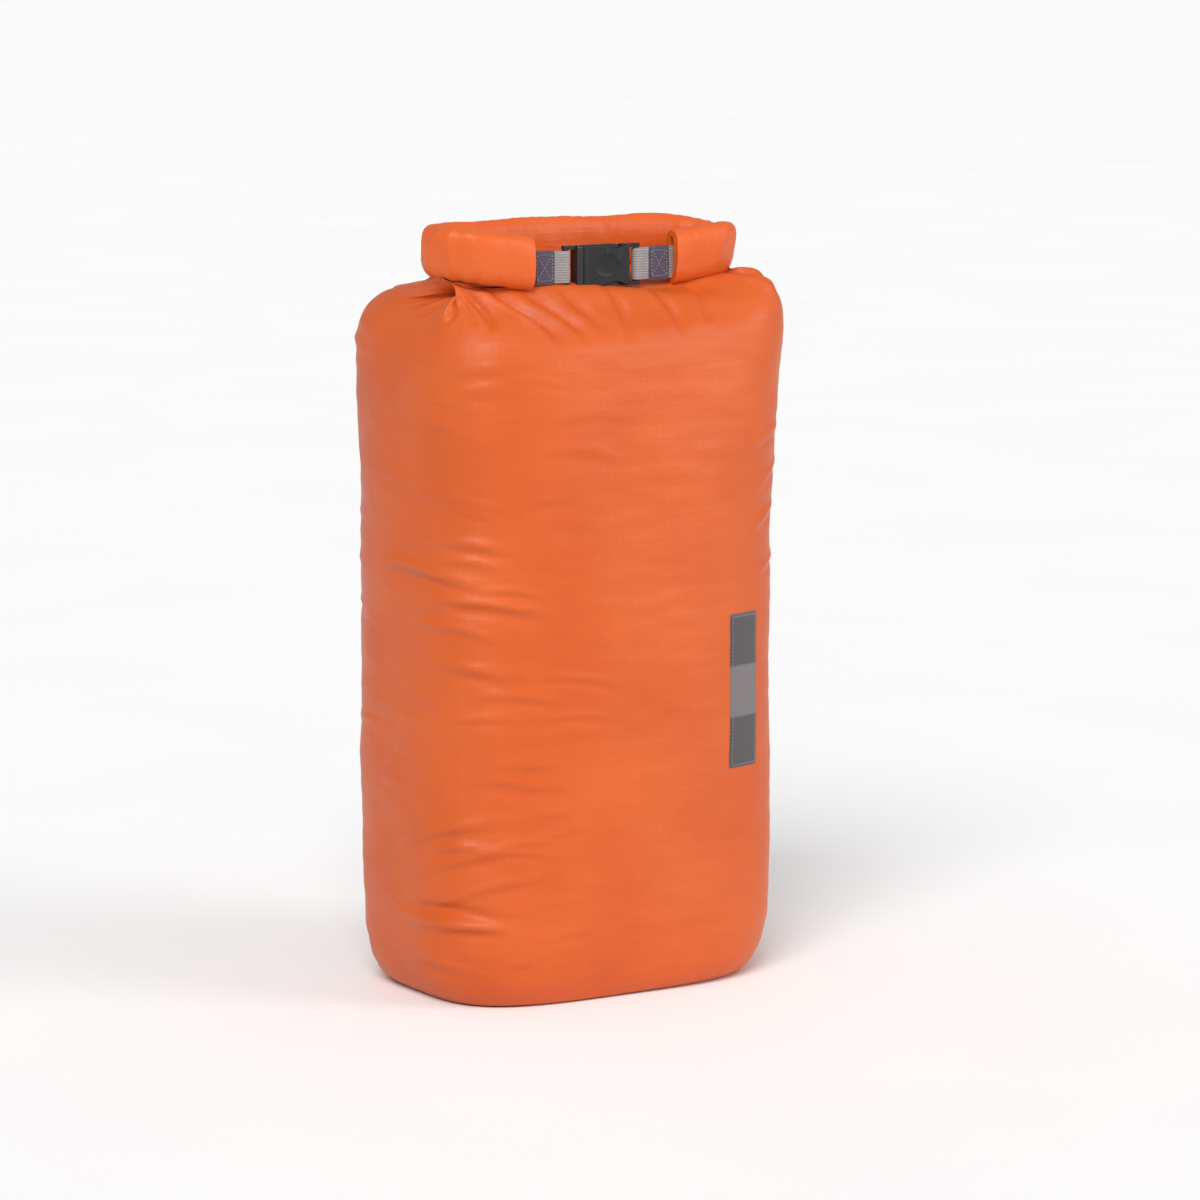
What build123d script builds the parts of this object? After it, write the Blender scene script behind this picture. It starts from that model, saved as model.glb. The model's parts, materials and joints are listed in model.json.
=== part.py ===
"""Roll-top dry bag: coated fabric bag, rolled collar, webbing tabs and a side release buckle.

Millimetres, +Z up. The origin is the centre of the base on the floor and -Y is the front,
the side the rolled ends are buckled on. Fabric pieces are plain closed solids of the right
size and place; the buckle is modelled piece by piece.
"""
from build123d import *
from math import copysign, cos, pi, radians, sin
import os

# Bag
WALL = 1.0                # thickness the fabric wall is modelled with
WALL_FOOT = 1.3           # height the wall starts at, just over the base panel
CONTOUR_POINTS = 32
BAG_SECTIONS = [          # height, centre x, half width, half depth, squareness of the outline
    (WALL_FOOT, 0, 110, 76, 3.5),
    (7, 0, 116, 81, 3.5),
    (17, 0, 121, 85, 3.5),
    (36, 0, 125, 88, 3.5),
    (80, 0, 127, 89, 3.5),
    (160, 0, 127, 89, 3.5),
    (240, 0, 127, 89, 3.5),
    (320, 0, 127, 89, 3.5),
    (375, 0, 127, 89, 3.5),
    (405, 0, 126, 87, 3.5),
    (423, 0, 121, 78, 3.4),
    (436, -1, 112, 60, 3.2),
    (445, -2, 98, 36, 3.0),
    (453.5, -4, 76, 5.5, 2.8),
]
BASE_THICK = 1.0
BASE_HALF_X, BASE_HALF_Y, BASE_SQUARENESS = 108.5, 74.5, 3.4
TAPE_WIDTH = 20.0         # seam tape
TAPE_THICK = 0.3
BACK_TAPE_FOOT, BACK_TAPE_TOP = 40.0, 340.0

# Rolled collar: a back run, a half turn at each side and a front run to each webbing tab
CLOSURE_X = -4.0          # the roll and the buckle are centred a little left of the bag
ROLL_HEIGHT, ROLL_THICK = 34.0, 17.0
ROLL_Z = 471.0            # centre of the back run
BACK_HALF = 77.0          # half length of the straight back run
BEND_RADIUS = 24.0        # of the roll's centre line
END_HALF = 52.0           # half gap between the two rolled ends
END_Z = 463.0             # the front runs sag to this centre height at their ends
CORE_HEIGHT, CORE_THICK = 26.0, 4.0
STIFFENER_HEIGHT, STIFFENER_THICK = 24.0, 1.2
STIFFENER_HALF = 72.0
FRONT_Y = -2 * BEND_RADIUS
PIVOT_OUT = BACK_HALF + BEND_RADIUS
PIVOT_Y = -BEND_RADIUS
SWING_GAP = 0.3           # between bodies that swing past one another

# Webbing tabs
WEBBING_WIDTH, WEBBING_THICK = 20.0, 1.3
STRAP_Z = 460.0           # centre height of the webbing and buckle
BAR_RADIUS = 1.75
BAR_PLAY = 0.1
BAR_OUT = 26.0            # distance of each bar from the buckle's centre
TAB_JOIN = 34.0           # distance where the two plies meet
TAB_END = 64.0
TAB_THICK = 2.8
PATCH_NEAR, PATCH_FAR = 34.5, 49.5
PATCH_HEIGHT, PATCH_THICK = 21.0, 0.9
THREAD, THREAD_LIFT = 0.9, 0.35

# Side label
LABEL_X = (67.0, 92.5)
LABEL_Z = (140.5, 239.5)
LABEL_GAP, LABEL_THICK = 0.05, 0.6

# Buckle, measured from its own centre: x along the strap, y through it, z up
BUCKLE_HALF_WIDTH, BUCKLE_HALF_THICK = 13.0, 4.5
RAIL_INNER, RAIL_HALF_THICK = 10.6, 2.4
MOUTH_X, BACK_X = -15.0, 19.0
CAVITY_END = 16.0
CAVITY_HALF_WIDTH, CAVITY_HALF_THICK = 10.9, 2.9
WINDOW_X = (0.7, 14.8)
SCALLOP_RADIUS, SCALLOP_DEPTH = 16.0, 2.2
FLANGE_X = (-19.5, -15.3)
TONGUE_TIP, TONGUE_HALF_WIDTH, TONGUE_HALF_THICK = 9.0, 2.2, 2.0
ARM_ROOT_X, ARM_ROOT_Z = -16.9, 6.2
ARM_ROOT_RADIUS, ARM_ROOT_PLAY = 1.4, 0.08
ARM_HALF_THICK = 2.6
ARM_NECK = 1.1            # half thickness of the springy part of an arm
PAD_X = (1.0, 14.2)
PAD_OUTER, PAD_TIP, PAD_INNER = 13.5, 9.6, 7.2


def outline(height, centre_x, half_x, half_y, squareness):
    """Closed horizontal face with a rounded, slightly boxy outline."""
    points = []
    for step in range(CONTOUR_POINTS):
        angle = 2 * pi * step / CONTOUR_POINTS
        along = copysign(abs(cos(angle)) ** (2 / squareness), cos(angle))
        across = copysign(abs(sin(angle)) ** (2 / squareness), sin(angle))
        points.append(Vector(centre_x + half_x * along, half_y * across, height))
    return make_face(Spline(*points, periodic=True))


def bag_solid(growth=0.0):
    """The filled shape of the bag, grown outwards by a small distance."""
    return loft([outline(z, x, half_x + growth, half_y + growth, squareness)
                 for z, x, half_x, half_y, squareness in BAG_SECTIONS])


def span(x, y, z):
    """Box between three (low, high) pairs."""
    sides = [high - low for low, high in (x, y, z)]
    middle = [(high + low) / 2 for low, high in (x, y, z)]
    return Pos(*middle) * Box(*sides)


def left_span(near, far):
    """(low, high) in x of a stretch left of the closure's centre."""
    return (CLOSURE_X - far, CLOSURE_X - near)


def right_hand(shape):
    """The mirror image of a left-hand piece, on the right of the closure's centre."""
    return mirror(shape, about=Plane.YZ.offset(CLOSURE_X))


# --- bag -----------------------------------------------------------------

def body_wall():
    """Fabric tube, open at the top where the collar starts and at the base seam."""
    return bag_solid() - bag_solid(-WALL)


def base_panel():
    return extrude(outline(0, 0, BASE_HALF_X, BASE_HALF_Y, BASE_SQUARENESS), amount=BASE_THICK)


def base_seam_tape():
    """Flat ring welded over the base seam on the inside."""
    face = outline(BASE_THICK, 0, BASE_HALF_X - 1, BASE_HALF_Y - 1, BASE_SQUARENESS)
    hole = outline(BASE_THICK, 0, BASE_HALF_X - 11, BASE_HALF_Y - 11, BASE_SQUARENESS)
    return extrude(face - hole, amount=TAPE_THICK)


def back_seam_tape():
    """Strip welded over the vertical seam, inside the back wall."""
    outer = bag_solid(-WALL - 0.1)
    inner = bag_solid(-WALL - 0.1 - TAPE_THICK)
    window = span((-TAPE_WIDTH / 2, TAPE_WIDTH / 2), (0, 100), (BACK_TAPE_FOOT, BACK_TAPE_TOP))
    return (outer & window) - inner


def label_solid(near, far, x, z):
    """Piece of a skin lying between two distances outside the front wall."""
    window = span(x, (-100, 0), z)
    return (bag_solid(far) & window) - bag_solid(near)


def side_label():
    return label_solid(LABEL_GAP, LABEL_GAP + LABEL_THICK, LABEL_X, LABEL_Z)


def label_stitching():
    """Thread line round the label, 2 mm in from its edge."""
    near = LABEL_GAP + LABEL_THICK
    ring_x = (LABEL_X[0] + 2, LABEL_X[1] - 2)
    ring_z = (LABEL_Z[0] + 2, LABEL_Z[1] - 2)
    hole = span((ring_x[0] + THREAD, ring_x[1] - THREAD), (-100, 0),
                (ring_z[0] + THREAD, ring_z[1] - THREAD))
    return label_solid(near, near + THREAD_LIFT, ring_x, ring_z) - hole


# --- rolled collar -------------------------------------------------------

def bend_station(degrees, height):
    """Place on the left bend; 90 is the back run, 0 the pivot and -90 the front run."""
    angle = radians(degrees)
    x = CLOSURE_X - BACK_HALF - BEND_RADIUS * cos(angle)
    y = PIVOT_Y + BEND_RADIUS * sin(angle)
    heading = (-sin(angle), -cos(angle))
    return x, y, height, heading


def roll_loft(stations, height, thick):
    """Oblong section carried along a line of stations."""
    sections = []
    for x, y, z, heading in stations:
        plane = Plane(origin=(x, y, z), x_dir=(0, 0, 1), z_dir=(heading[0], heading[1], 0))
        sections.append(plane * SlotOverall(height, thick))
    return loft(sections)


def knuckle(growth=0.0):
    """Upright capsule at the left pivot, the size of the roll's section."""
    section = SlotOverall(ROLL_HEIGHT + 2 * growth, ROLL_THICK + 2 * growth, rotation=90)
    half_section = section & Pos(ROLL_THICK, 0) * Rectangle(2 * ROLL_THICK, 2 * ROLL_HEIGHT)
    capsule = revolve(Plane.XZ * half_section, Axis.Z)
    return Pos(CLOSURE_X - PIVOT_OUT, PIVOT_Y, ROLL_Z) * capsule


def first_quarter():
    """Left quarter turn next to the back run, cut back so that the end can swing."""
    quarter = roll_loft([bend_station(degrees, ROLL_Z) for degrees in (90, 60, 30, 0)],
                        ROLL_HEIGHT, ROLL_THICK)
    relief = span(left_span(PIVOT_OUT, PIVOT_OUT + ROLL_THICK),
                  (PIVOT_Y - 1, PIVOT_Y + ROLL_THICK / 2 + SWING_GAP),
                  (ROLL_Z - ROLL_HEIGHT, ROLL_Z + ROLL_HEIGHT))
    return quarter - knuckle(SWING_GAP) - relief


def collar_back_run():
    """Middle of the rolled collar, with the first quarter turn at each side."""
    run = roll_loft([(CLOSURE_X - BACK_HALF, 0, ROLL_Z, (1, 0)),
                     (CLOSURE_X + BACK_HALF, 0, ROLL_Z, (1, 0))], ROLL_HEIGHT, ROLL_THICK)
    core = span((CLOSURE_X - BACK_HALF + 3, CLOSURE_X + BACK_HALF - 3),
                (-CORE_THICK / 2, CORE_THICK / 2),
                (ROLL_Z - CORE_HEIGHT / 2, ROLL_Z + CORE_HEIGHT / 2))
    quarter = first_quarter()
    return run - core + quarter + right_hand(quarter)


def stiffener(offset_y):
    """One of the two stiff strips along the mouth's edge, in the core of the roll."""
    return span((CLOSURE_X - STIFFENER_HALF, CLOSURE_X + STIFFENER_HALF),
                (offset_y - STIFFENER_THICK / 2, offset_y + STIFFENER_THICK / 2),
                (ROLL_Z - STIFFENER_HEIGHT / 2, ROLL_Z + STIFFENER_HEIGHT / 2))


def tab_pocket():
    """Space in a rolled end for the webbing's tail and the end of the stiff strip."""
    return span(left_span(END_HALF - 1, BACK_HALF - 2),
                (FRONT_Y - TAB_THICK / 2 - 0.1, FRONT_Y + TAB_THICK / 2 + 0.1),
                (STRAP_Z - WEBBING_WIDTH / 2 - 0.1, STRAP_Z + WEBBING_WIDTH / 2 + 0.1))


def collar_end():
    """Last quarter turn and front run of the roll, hung on the knuckle."""
    sag = (0, -1, -2.5, -4.5)
    stations = [bend_station(-degrees, ROLL_Z + drop)
                for degrees, drop in zip((0, 30, 60, 90), sag)]
    stations.append((CLOSURE_X - END_HALF, FRONT_Y, END_Z, (1, 0)))
    return roll_loft(stations, ROLL_HEIGHT, ROLL_THICK) + knuckle() - tab_pocket()


def stiffener_end():
    return span(left_span(TAB_END + 0.5, BACK_HALF - 3),
                (FRONT_Y - STIFFENER_THICK, FRONT_Y + STIFFENER_THICK),
                (STRAP_Z - WEBBING_WIDTH / 2, STRAP_Z + WEBBING_WIDTH / 2))


# --- webbing tabs --------------------------------------------------------

def webbing():
    """Webbing turned round a buckle bar, its two plies sewn together into the roll."""
    bar = Pos(CLOSURE_X - BAR_OUT, FRONT_Y)
    join = Pos(CLOSURE_X - TAB_JOIN, FRONT_Y)
    inside = BAR_RADIUS + BAR_PLAY
    outer = make_hull((bar * Circle(inside + WEBBING_THICK)).edges()
                      + (join * Rectangle(1, TAB_THICK)).edges())
    inner = make_hull((bar * Circle(inside)).edges() + (join * Rectangle(1, 0.2)).edges())
    tail_x = left_span(TAB_JOIN, TAB_END)
    tail = Pos(sum(tail_x) / 2, FRONT_Y) * Rectangle(TAB_END - TAB_JOIN, TAB_THICK)
    face = outer - inner + tail
    return Pos(0, 0, STRAP_Z - WEBBING_WIDTH / 2) * extrude(face, amount=WEBBING_WIDTH)


def patch(face_sign):
    """Reinforcement sewn on one face of a tab; face_sign is -1 on the front."""
    near = FRONT_Y + face_sign * TAB_THICK / 2
    far = near + face_sign * PATCH_THICK
    plate = span(left_span(PATCH_NEAR, PATCH_FAR), sorted((near, far)),
                 (STRAP_Z - PATCH_HEIGHT / 2, STRAP_Z + PATCH_HEIGHT / 2))
    return fillet(plate.edges().filter_by(Axis.Y), 1.5)


def box_stitch():
    """Square of thread with a cross in it, on the front of a patch."""
    width = PATCH_FAR - PATCH_NEAR - 4
    height = PATCH_HEIGHT - 5
    frame = Rectangle(width, height) - Rectangle(width - 2 * THREAD, height - 2 * THREAD)
    slope = Vector(width - THREAD, height - THREAD)
    angle = slope.get_angle(Vector(1, 0))
    for turn in (angle, -angle):
        frame += Rot(0, 0, turn) * Rectangle(slope.length, THREAD)
    front = FRONT_Y - TAB_THICK / 2 - PATCH_THICK
    centre = CLOSURE_X - (PATCH_NEAR + PATCH_FAR) / 2
    plane = Plane(origin=(centre, front, STRAP_Z), x_dir=(1, 0, 0), z_dir=(0, -1, 0))
    return extrude(plane * frame, amount=THREAD_LIFT)


# --- buckle --------------------------------------------------------------

def place_buckle(shape):
    return Pos(CLOSURE_X, FRONT_Y, STRAP_Z) * shape


def bar_frame(side, body_x):
    """Two rails carrying the bar the webbing turns round."""
    bar = Pos(side * BAR_OUT, 0, 0) * Cylinder(BAR_RADIUS, 2 * RAIL_INNER + 1)
    frame = bar
    for sign in (-1, 1):
        middle = sign * (RAIL_INNER + BUCKLE_HALF_WIDTH) / 2
        width = BUCKLE_HALF_WIDTH - RAIL_INNER
        rail_x = sorted((body_x, side * BAR_OUT))
        frame += Pos(sum(rail_x) / 2, 0, middle) * Box(rail_x[1] - rail_x[0],
                                                       2 * RAIL_HALF_THICK, width)
        frame += Pos(side * BAR_OUT, 0, middle) * Cylinder(RAIL_HALF_THICK, width)
    return frame


def socket_shell():
    """Outside of the socket, waisted at the release windows."""
    shell = span((MOUTH_X, BACK_X), (-BUCKLE_HALF_THICK, BUCKLE_HALF_THICK),
                 (-BUCKLE_HALF_WIDTH, BUCKLE_HALF_WIDTH))
    shell = fillet(shell.edges().filter_by(Axis.Y), 2.5)
    window_mid = sum(WINDOW_X) / 2
    reach = BUCKLE_HALF_WIDTH - SCALLOP_DEPTH + SCALLOP_RADIUS
    for sign in (-1, 1):
        scallop = Cylinder(SCALLOP_RADIUS, 3 * BUCKLE_HALF_THICK, rotation=(90, 0, 0))
        shell -= Pos(window_mid, 0, sign * reach) * scallop
    flats = shell.faces().filter_by(Axis.Y)
    return fillet(flats.edges(), 1.2)


def buckle_socket():
    """Socket half: hollow body with a side window for each arm, and its bar."""
    body = socket_shell() + bar_frame(1, BACK_X - 2)
    cavity = span((MOUTH_X - 1, CAVITY_END), (-CAVITY_HALF_THICK, CAVITY_HALF_THICK),
                  (-CAVITY_HALF_WIDTH, CAVITY_HALF_WIDTH))
    windows = span(WINDOW_X, (-CAVITY_HALF_THICK, CAVITY_HALF_THICK),
                   (-2 * BUCKLE_HALF_WIDTH, 2 * BUCKLE_HALF_WIDTH))
    dish = Pos(2, -BUCKLE_HALF_THICK, 0) * scale(Sphere(1), (9, 0.6, 7))
    return place_buckle(body - cavity - windows - dish)


def arm_pocket(sign):
    """Seat in the plug for an arm's root, flared so that the arm can bend inwards."""
    seat = Pos(ARM_ROOT_X, 0, sign * ARM_ROOT_Z) * Cylinder(
        ARM_ROOT_RADIUS + ARM_ROOT_PLAY, 2 * ARM_HALF_THICK + 0.6, rotation=(90, 0, 0))
    throat_half = ARM_NECK + 0.4
    throat_z = (sign * ARM_ROOT_Z - throat_half, sign * ARM_ROOT_Z + throat_half)
    throat = span((ARM_ROOT_X, FLANGE_X[1] + 1), (-ARM_HALF_THICK - 0.3, ARM_HALF_THICK + 0.3),
                  throat_z)
    return seat + throat


def plug_base():
    """Plug half: flange that closes the socket's mouth, centre tongue and bar."""
    flange = span(FLANGE_X, (-BUCKLE_HALF_THICK + 0.4, BUCKLE_HALF_THICK - 0.4),
                  (-BUCKLE_HALF_WIDTH, BUCKLE_HALF_WIDTH))
    flange = fillet(flange.edges().filter_by(Axis.X), 1.5)
    tongue = span((FLANGE_X[1] - 1, TONGUE_TIP), (-TONGUE_HALF_THICK, TONGUE_HALF_THICK),
                  (-TONGUE_HALF_WIDTH, TONGUE_HALF_WIDTH))
    tongue = chamfer(tongue.faces().sort_by(Axis.X)[-1].edges(), 1.0)
    plug = flange + tongue + bar_frame(-1, FLANGE_X[0] + 1)
    return place_buckle(plug - arm_pocket(1) - arm_pocket(-1))


def plug_arm(sign):
    """Springy arm with the catch and thumb pad; sign is 1 for the upper one."""
    root = Pos(ARM_ROOT_X, 0, ARM_ROOT_Z) * Cylinder(
        ARM_ROOT_RADIUS, 2 * ARM_HALF_THICK, rotation=(90, 0, 0))
    corners = [
        (ARM_ROOT_X, ARM_ROOT_Z - ARM_NECK),
        (PAD_X[0], PAD_INNER - 1),
        (PAD_X[1] - 1.5, PAD_INNER),
        (PAD_X[1], PAD_INNER + 1.2),
        (PAD_X[1], PAD_TIP),
        (PAD_X[1] - 4.5, PAD_OUTER - 0.4),
        (PAD_X[0] + 3.0, PAD_OUTER),
        (PAD_X[0], PAD_OUTER - 0.5),
        (PAD_X[0], PAD_INNER + 1.6),
        (ARM_ROOT_X, ARM_ROOT_Z + ARM_NECK),
    ]
    plane = Plane(origin=(0, ARM_HALF_THICK, 0), x_dir=(1, 0, 0), z_dir=(0, -1, 0))
    blade = extrude(plane * make_face(Polyline(*corners, close=True)), amount=2 * ARM_HALF_THICK)
    upper = root + blade
    arm = upper if sign > 0 else mirror(upper, about=Plane.XY)
    return place_buckle(arm)


PARTS = {
    "body_wall": body_wall(),
    "base_panel": base_panel(),
    "base_seam_tape": base_seam_tape(),
    "back_seam_tape": back_seam_tape(),
    "side_label": side_label(),
    "label_stitching": label_stitching(),
    "collar_back_run": collar_back_run(),
    "mouth_stiffener_front": stiffener(-STIFFENER_THICK / 2 - 0.2),
    "mouth_stiffener_back": stiffener(STIFFENER_THICK / 2 + 0.2),
    "buckle_socket": buckle_socket(),
    "buckle_plug": plug_base(),
    "plug_arm_upper": plug_arm(1),
    "plug_arm_lower": plug_arm(-1),
}
LEFT_PIECES = {
    "collar_end": collar_end(),
    "stiffener_end": stiffener_end(),
    "webbing": webbing(),
    "patch_front": patch(-1),
    "patch_back": patch(1),
    "box_stitch": box_stitch(),
}
for name, piece in LEFT_PIECES.items():
    PARTS[name + "_left"] = piece
    PARTS[name + "_right"] = right_hand(piece)

os.makedirs("parts", exist_ok=True)
for node, shape in PARTS.items():
    shape.label = node
    export_step(shape, "parts/" + node + ".step")
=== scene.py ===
import json
import math
import random

import bpy
import numpy as np
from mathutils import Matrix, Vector, noise
from mathutils.bvhtree import BVHTree


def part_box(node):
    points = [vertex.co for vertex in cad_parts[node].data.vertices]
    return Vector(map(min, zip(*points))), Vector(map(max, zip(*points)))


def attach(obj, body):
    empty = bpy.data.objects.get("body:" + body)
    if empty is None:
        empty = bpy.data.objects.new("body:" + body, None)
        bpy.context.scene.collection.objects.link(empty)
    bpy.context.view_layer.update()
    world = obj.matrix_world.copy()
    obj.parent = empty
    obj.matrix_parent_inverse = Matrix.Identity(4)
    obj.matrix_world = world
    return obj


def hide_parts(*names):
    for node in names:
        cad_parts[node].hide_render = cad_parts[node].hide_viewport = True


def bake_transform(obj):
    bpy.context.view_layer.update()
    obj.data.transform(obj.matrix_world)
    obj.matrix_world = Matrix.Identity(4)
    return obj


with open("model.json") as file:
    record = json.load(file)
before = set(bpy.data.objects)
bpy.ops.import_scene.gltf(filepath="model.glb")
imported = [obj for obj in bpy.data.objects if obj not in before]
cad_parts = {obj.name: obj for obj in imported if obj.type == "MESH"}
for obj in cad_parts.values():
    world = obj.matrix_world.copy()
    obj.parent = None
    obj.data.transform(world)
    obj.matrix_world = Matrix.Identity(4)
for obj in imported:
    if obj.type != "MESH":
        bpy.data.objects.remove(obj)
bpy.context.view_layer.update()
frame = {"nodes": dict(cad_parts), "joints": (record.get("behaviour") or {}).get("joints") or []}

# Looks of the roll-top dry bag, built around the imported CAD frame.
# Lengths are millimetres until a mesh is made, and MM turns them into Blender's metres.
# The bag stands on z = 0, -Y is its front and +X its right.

MM = 0.001


# --- sizes read from the frame ---------------------------------------------

def node_box(name):
    """Lowest and highest corner of a CAD node, in millimetres."""
    low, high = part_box(name)
    return np.array(low) / MM, np.array(high) / MM


pivots = {joint["name"]: np.array(joint["pos_m"]) / MM for joint in frame["joints"]}
RIGHT_PIVOT = pivots["right_end_swing"]
LEFT_PIVOT = pivots["left_end_swing"]
CLOSURE_X = (RIGHT_PIVOT[0] + LEFT_PIVOT[0]) / 2
BEND_RADIUS = -RIGHT_PIVOT[1]
BACK_HALF = RIGHT_PIVOT[0] - CLOSURE_X - BEND_RADIUS
FRONT_Y = -2 * BEND_RADIUS
run_low, run_high = node_box("collar_back_run")
end_low, _ = node_box("collar_end_right")
ROLL_HALF_THICK = run_high[1]
ROLL_HALF_HEIGHT = (run_high[2] - run_low[2]) / 2
ROLL_Z = (run_high[2] + run_low[2]) / 2
END_HALF = end_low[0] - CLOSURE_X
END_Z = end_low[2] + ROLL_HALF_HEIGHT
BEND_LENGTH = math.pi * BEND_RADIUS
RUN_LENGTH = BACK_HALF - END_HALF
COLLAR_HALF = BACK_HALF + BEND_LENGTH + RUN_LENGTH


# --- bag fabric: sizes -------------------------------------------------------

# height, centre x, half width, half depth, squareness of the outline, as in the CAD wall
BAG_SECTIONS = np.array([
    (1.5, 0, 110, 76, 3.5),
    (7, 0, 116, 81, 3.5),
    (17, 0, 121, 85, 3.5),
    (36, 0, 125, 88, 3.5),
    (80, 0, 127, 89, 3.5),
    (375, 0, 127, 89, 3.5),
    (405, 0, 125, 86, 3.5),
    (420, 0, 121, 80, 3.4),
])
SHOULDER_Z = 420.0
COLUMNS = 144               # round the bag, starting at its left fold and going by the front
BODY_ROWS, NECK_ROWS = 84, 20
OUTLINE_STEPS = 1500        # for measuring half of an outline before it is spaced evenly
COLLAR_STEPS = 120
NECK_Z, NECK_END_Z = 456.0, 449.0   # height of the fabric's top edge, at the back and at the ends
NECK_GAP = 1.5              # half distance between the two layers that enter the roll
FLAT_ROUND = 757.0          # the tube's way round before it was filled
FLAT_ROUND_TOP = 735.0
TAPERS_FROM = 0.7           # share of the body's rows where the flat tube starts to narrow
NECK_LENGTH = 100.0         # of fabric from the shoulder to the roll
BODY_SLACK = 1.03           # spare length in the height of the body


# --- mesh helpers ------------------------------------------------------------

SHARP_ANGLE = math.radians(55)


def make_object(name, points, faces, material, uvs=None, normals=None, smooth=True):
    """Object of a mesh with points in millimetres, and texture lengths per point in millimetres."""
    mesh = bpy.data.meshes.new(name)
    mesh.from_pydata((np.asarray(points, float) * MM).tolist(), [], faces)
    mesh.polygons.foreach_set("use_smooth", [smooth] * len(mesh.polygons))
    if uvs is not None:
        layer = mesh.uv_layers.new(name="cloth")
        corners = np.zeros(len(mesh.loops), int)
        mesh.loops.foreach_get("vertex_index", corners)
        layer.data.foreach_set("uv", (np.asarray(uvs, float) * MM)[corners].ravel())
    if normals is None:
        mesh.set_sharp_from_angle(angle=SHARP_ANGLE)
    else:
        mesh.normals_split_custom_set_from_vertices(np.asarray(normals, float).tolist())
    mesh.materials.append(material)
    mesh.update()
    built = bpy.data.objects.new(name, mesh)
    bpy.context.scene.collection.objects.link(built)
    return built


def grid_faces(rows, columns, closed=False, first=0, flip=False):
    """Quads between the points of a grid that is stored row by row."""
    faces = []
    for row in range(rows - 1):
        for column in range(columns if closed else columns - 1):
            after = (column + 1) % columns
            low, high = first + row * columns, first + (row + 1) * columns
            face = (low + column, low + after, high + after, high + column)
            faces.append(face[::-1] if flip else face)
    return faces


def slab(name, outer, inner, material, uvs=None):
    """Closed piece between two grids of points that lie a thickness apart."""
    rows, columns, _ = outer.shape
    count = rows * columns
    faces = grid_faces(rows, columns) + grid_faces(rows, columns, first=count, flip=True)
    around = [row * columns for row in range(rows - 1, 0, -1)]
    around = (list(range(columns)) + [row * columns + columns - 1 for row in range(1, rows)]
              + list(range(count - 2, count - columns - 1, -1)) + around[1:])
    for here, after in zip(around, around[1:] + around[:1]):
        faces.append((here, here + count, after + count, after))
    points = np.concatenate([outer.reshape(-1, 3), inner.reshape(-1, 3)])
    if uvs is not None:
        uvs = np.concatenate([uvs.reshape(-1, 2)] * 2)
    return make_object(name, points, faces, material, uvs)


def grid_normals(grid):
    """Outward unit normals of a grid that is closed along its columns."""
    around = np.roll(grid, -1, axis=1) - np.roll(grid, 1, axis=1)
    up = np.gradient(grid, axis=0)
    normals = np.cross(around, up)
    return normals / np.maximum(np.linalg.norm(normals, axis=2, keepdims=True), 1e-9)


def doubled(grid, axis, closed):
    """The grid with a point added between each two along one axis, by the four-point rule."""
    grid = np.moveaxis(grid, axis, 0)
    if closed:
        before, after, beyond = np.roll(grid, 1, 0), np.roll(grid, -1, 0), np.roll(grid, -2, 0)
        middle = (9 * (grid + after) - before - beyond) / 16
        merged = np.stack([grid, middle], 1).reshape(-1, *grid.shape[1:])
    else:
        padded = np.concatenate([2 * grid[:1] - grid[1:2], grid, 2 * grid[-1:] - grid[-2:-1]])
        middle = (9 * (grid[:-1] + grid[1:]) - padded[:-3] - padded[3:]) / 16
        merged = np.stack([grid[:-1], middle], 1).reshape(-1, *grid.shape[1:])
        merged = np.concatenate([merged, grid[-1:]])
    return np.moveaxis(merged, 0, axis)


def noise_of(points, size, seed=0.0):
    """Smooth noise between about -1 and 1 at points, with bumps about size across."""
    size = np.broadcast_to(np.asarray(size, float), (3,))
    places = (np.asarray(points, float).reshape(-1, 3) / size + seed).tolist()
    return np.array([noise.noise(Vector(place)) for place in places])


def smoothstep(value):
    value = np.clip(value, 0.0, 1.0)
    return value * value * (3 - 2 * value)


def evenly(points, count):
    """Points spaced evenly by length along a line of points."""
    points = np.asarray(points, float)
    length = np.concatenate([[0], np.cumsum(np.linalg.norm(np.diff(points, axis=0), axis=1))])
    wanted = np.linspace(0, length[-1], count)
    return np.stack([np.interp(wanted, length, points[:, k]) for k in range(points.shape[1])], 1)


# --- materials ---------------------------------------------------------------

WAVE_TURN = math.pi / 10    # Blender's wave texture repeats each WAVE_TURN / scale


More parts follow.
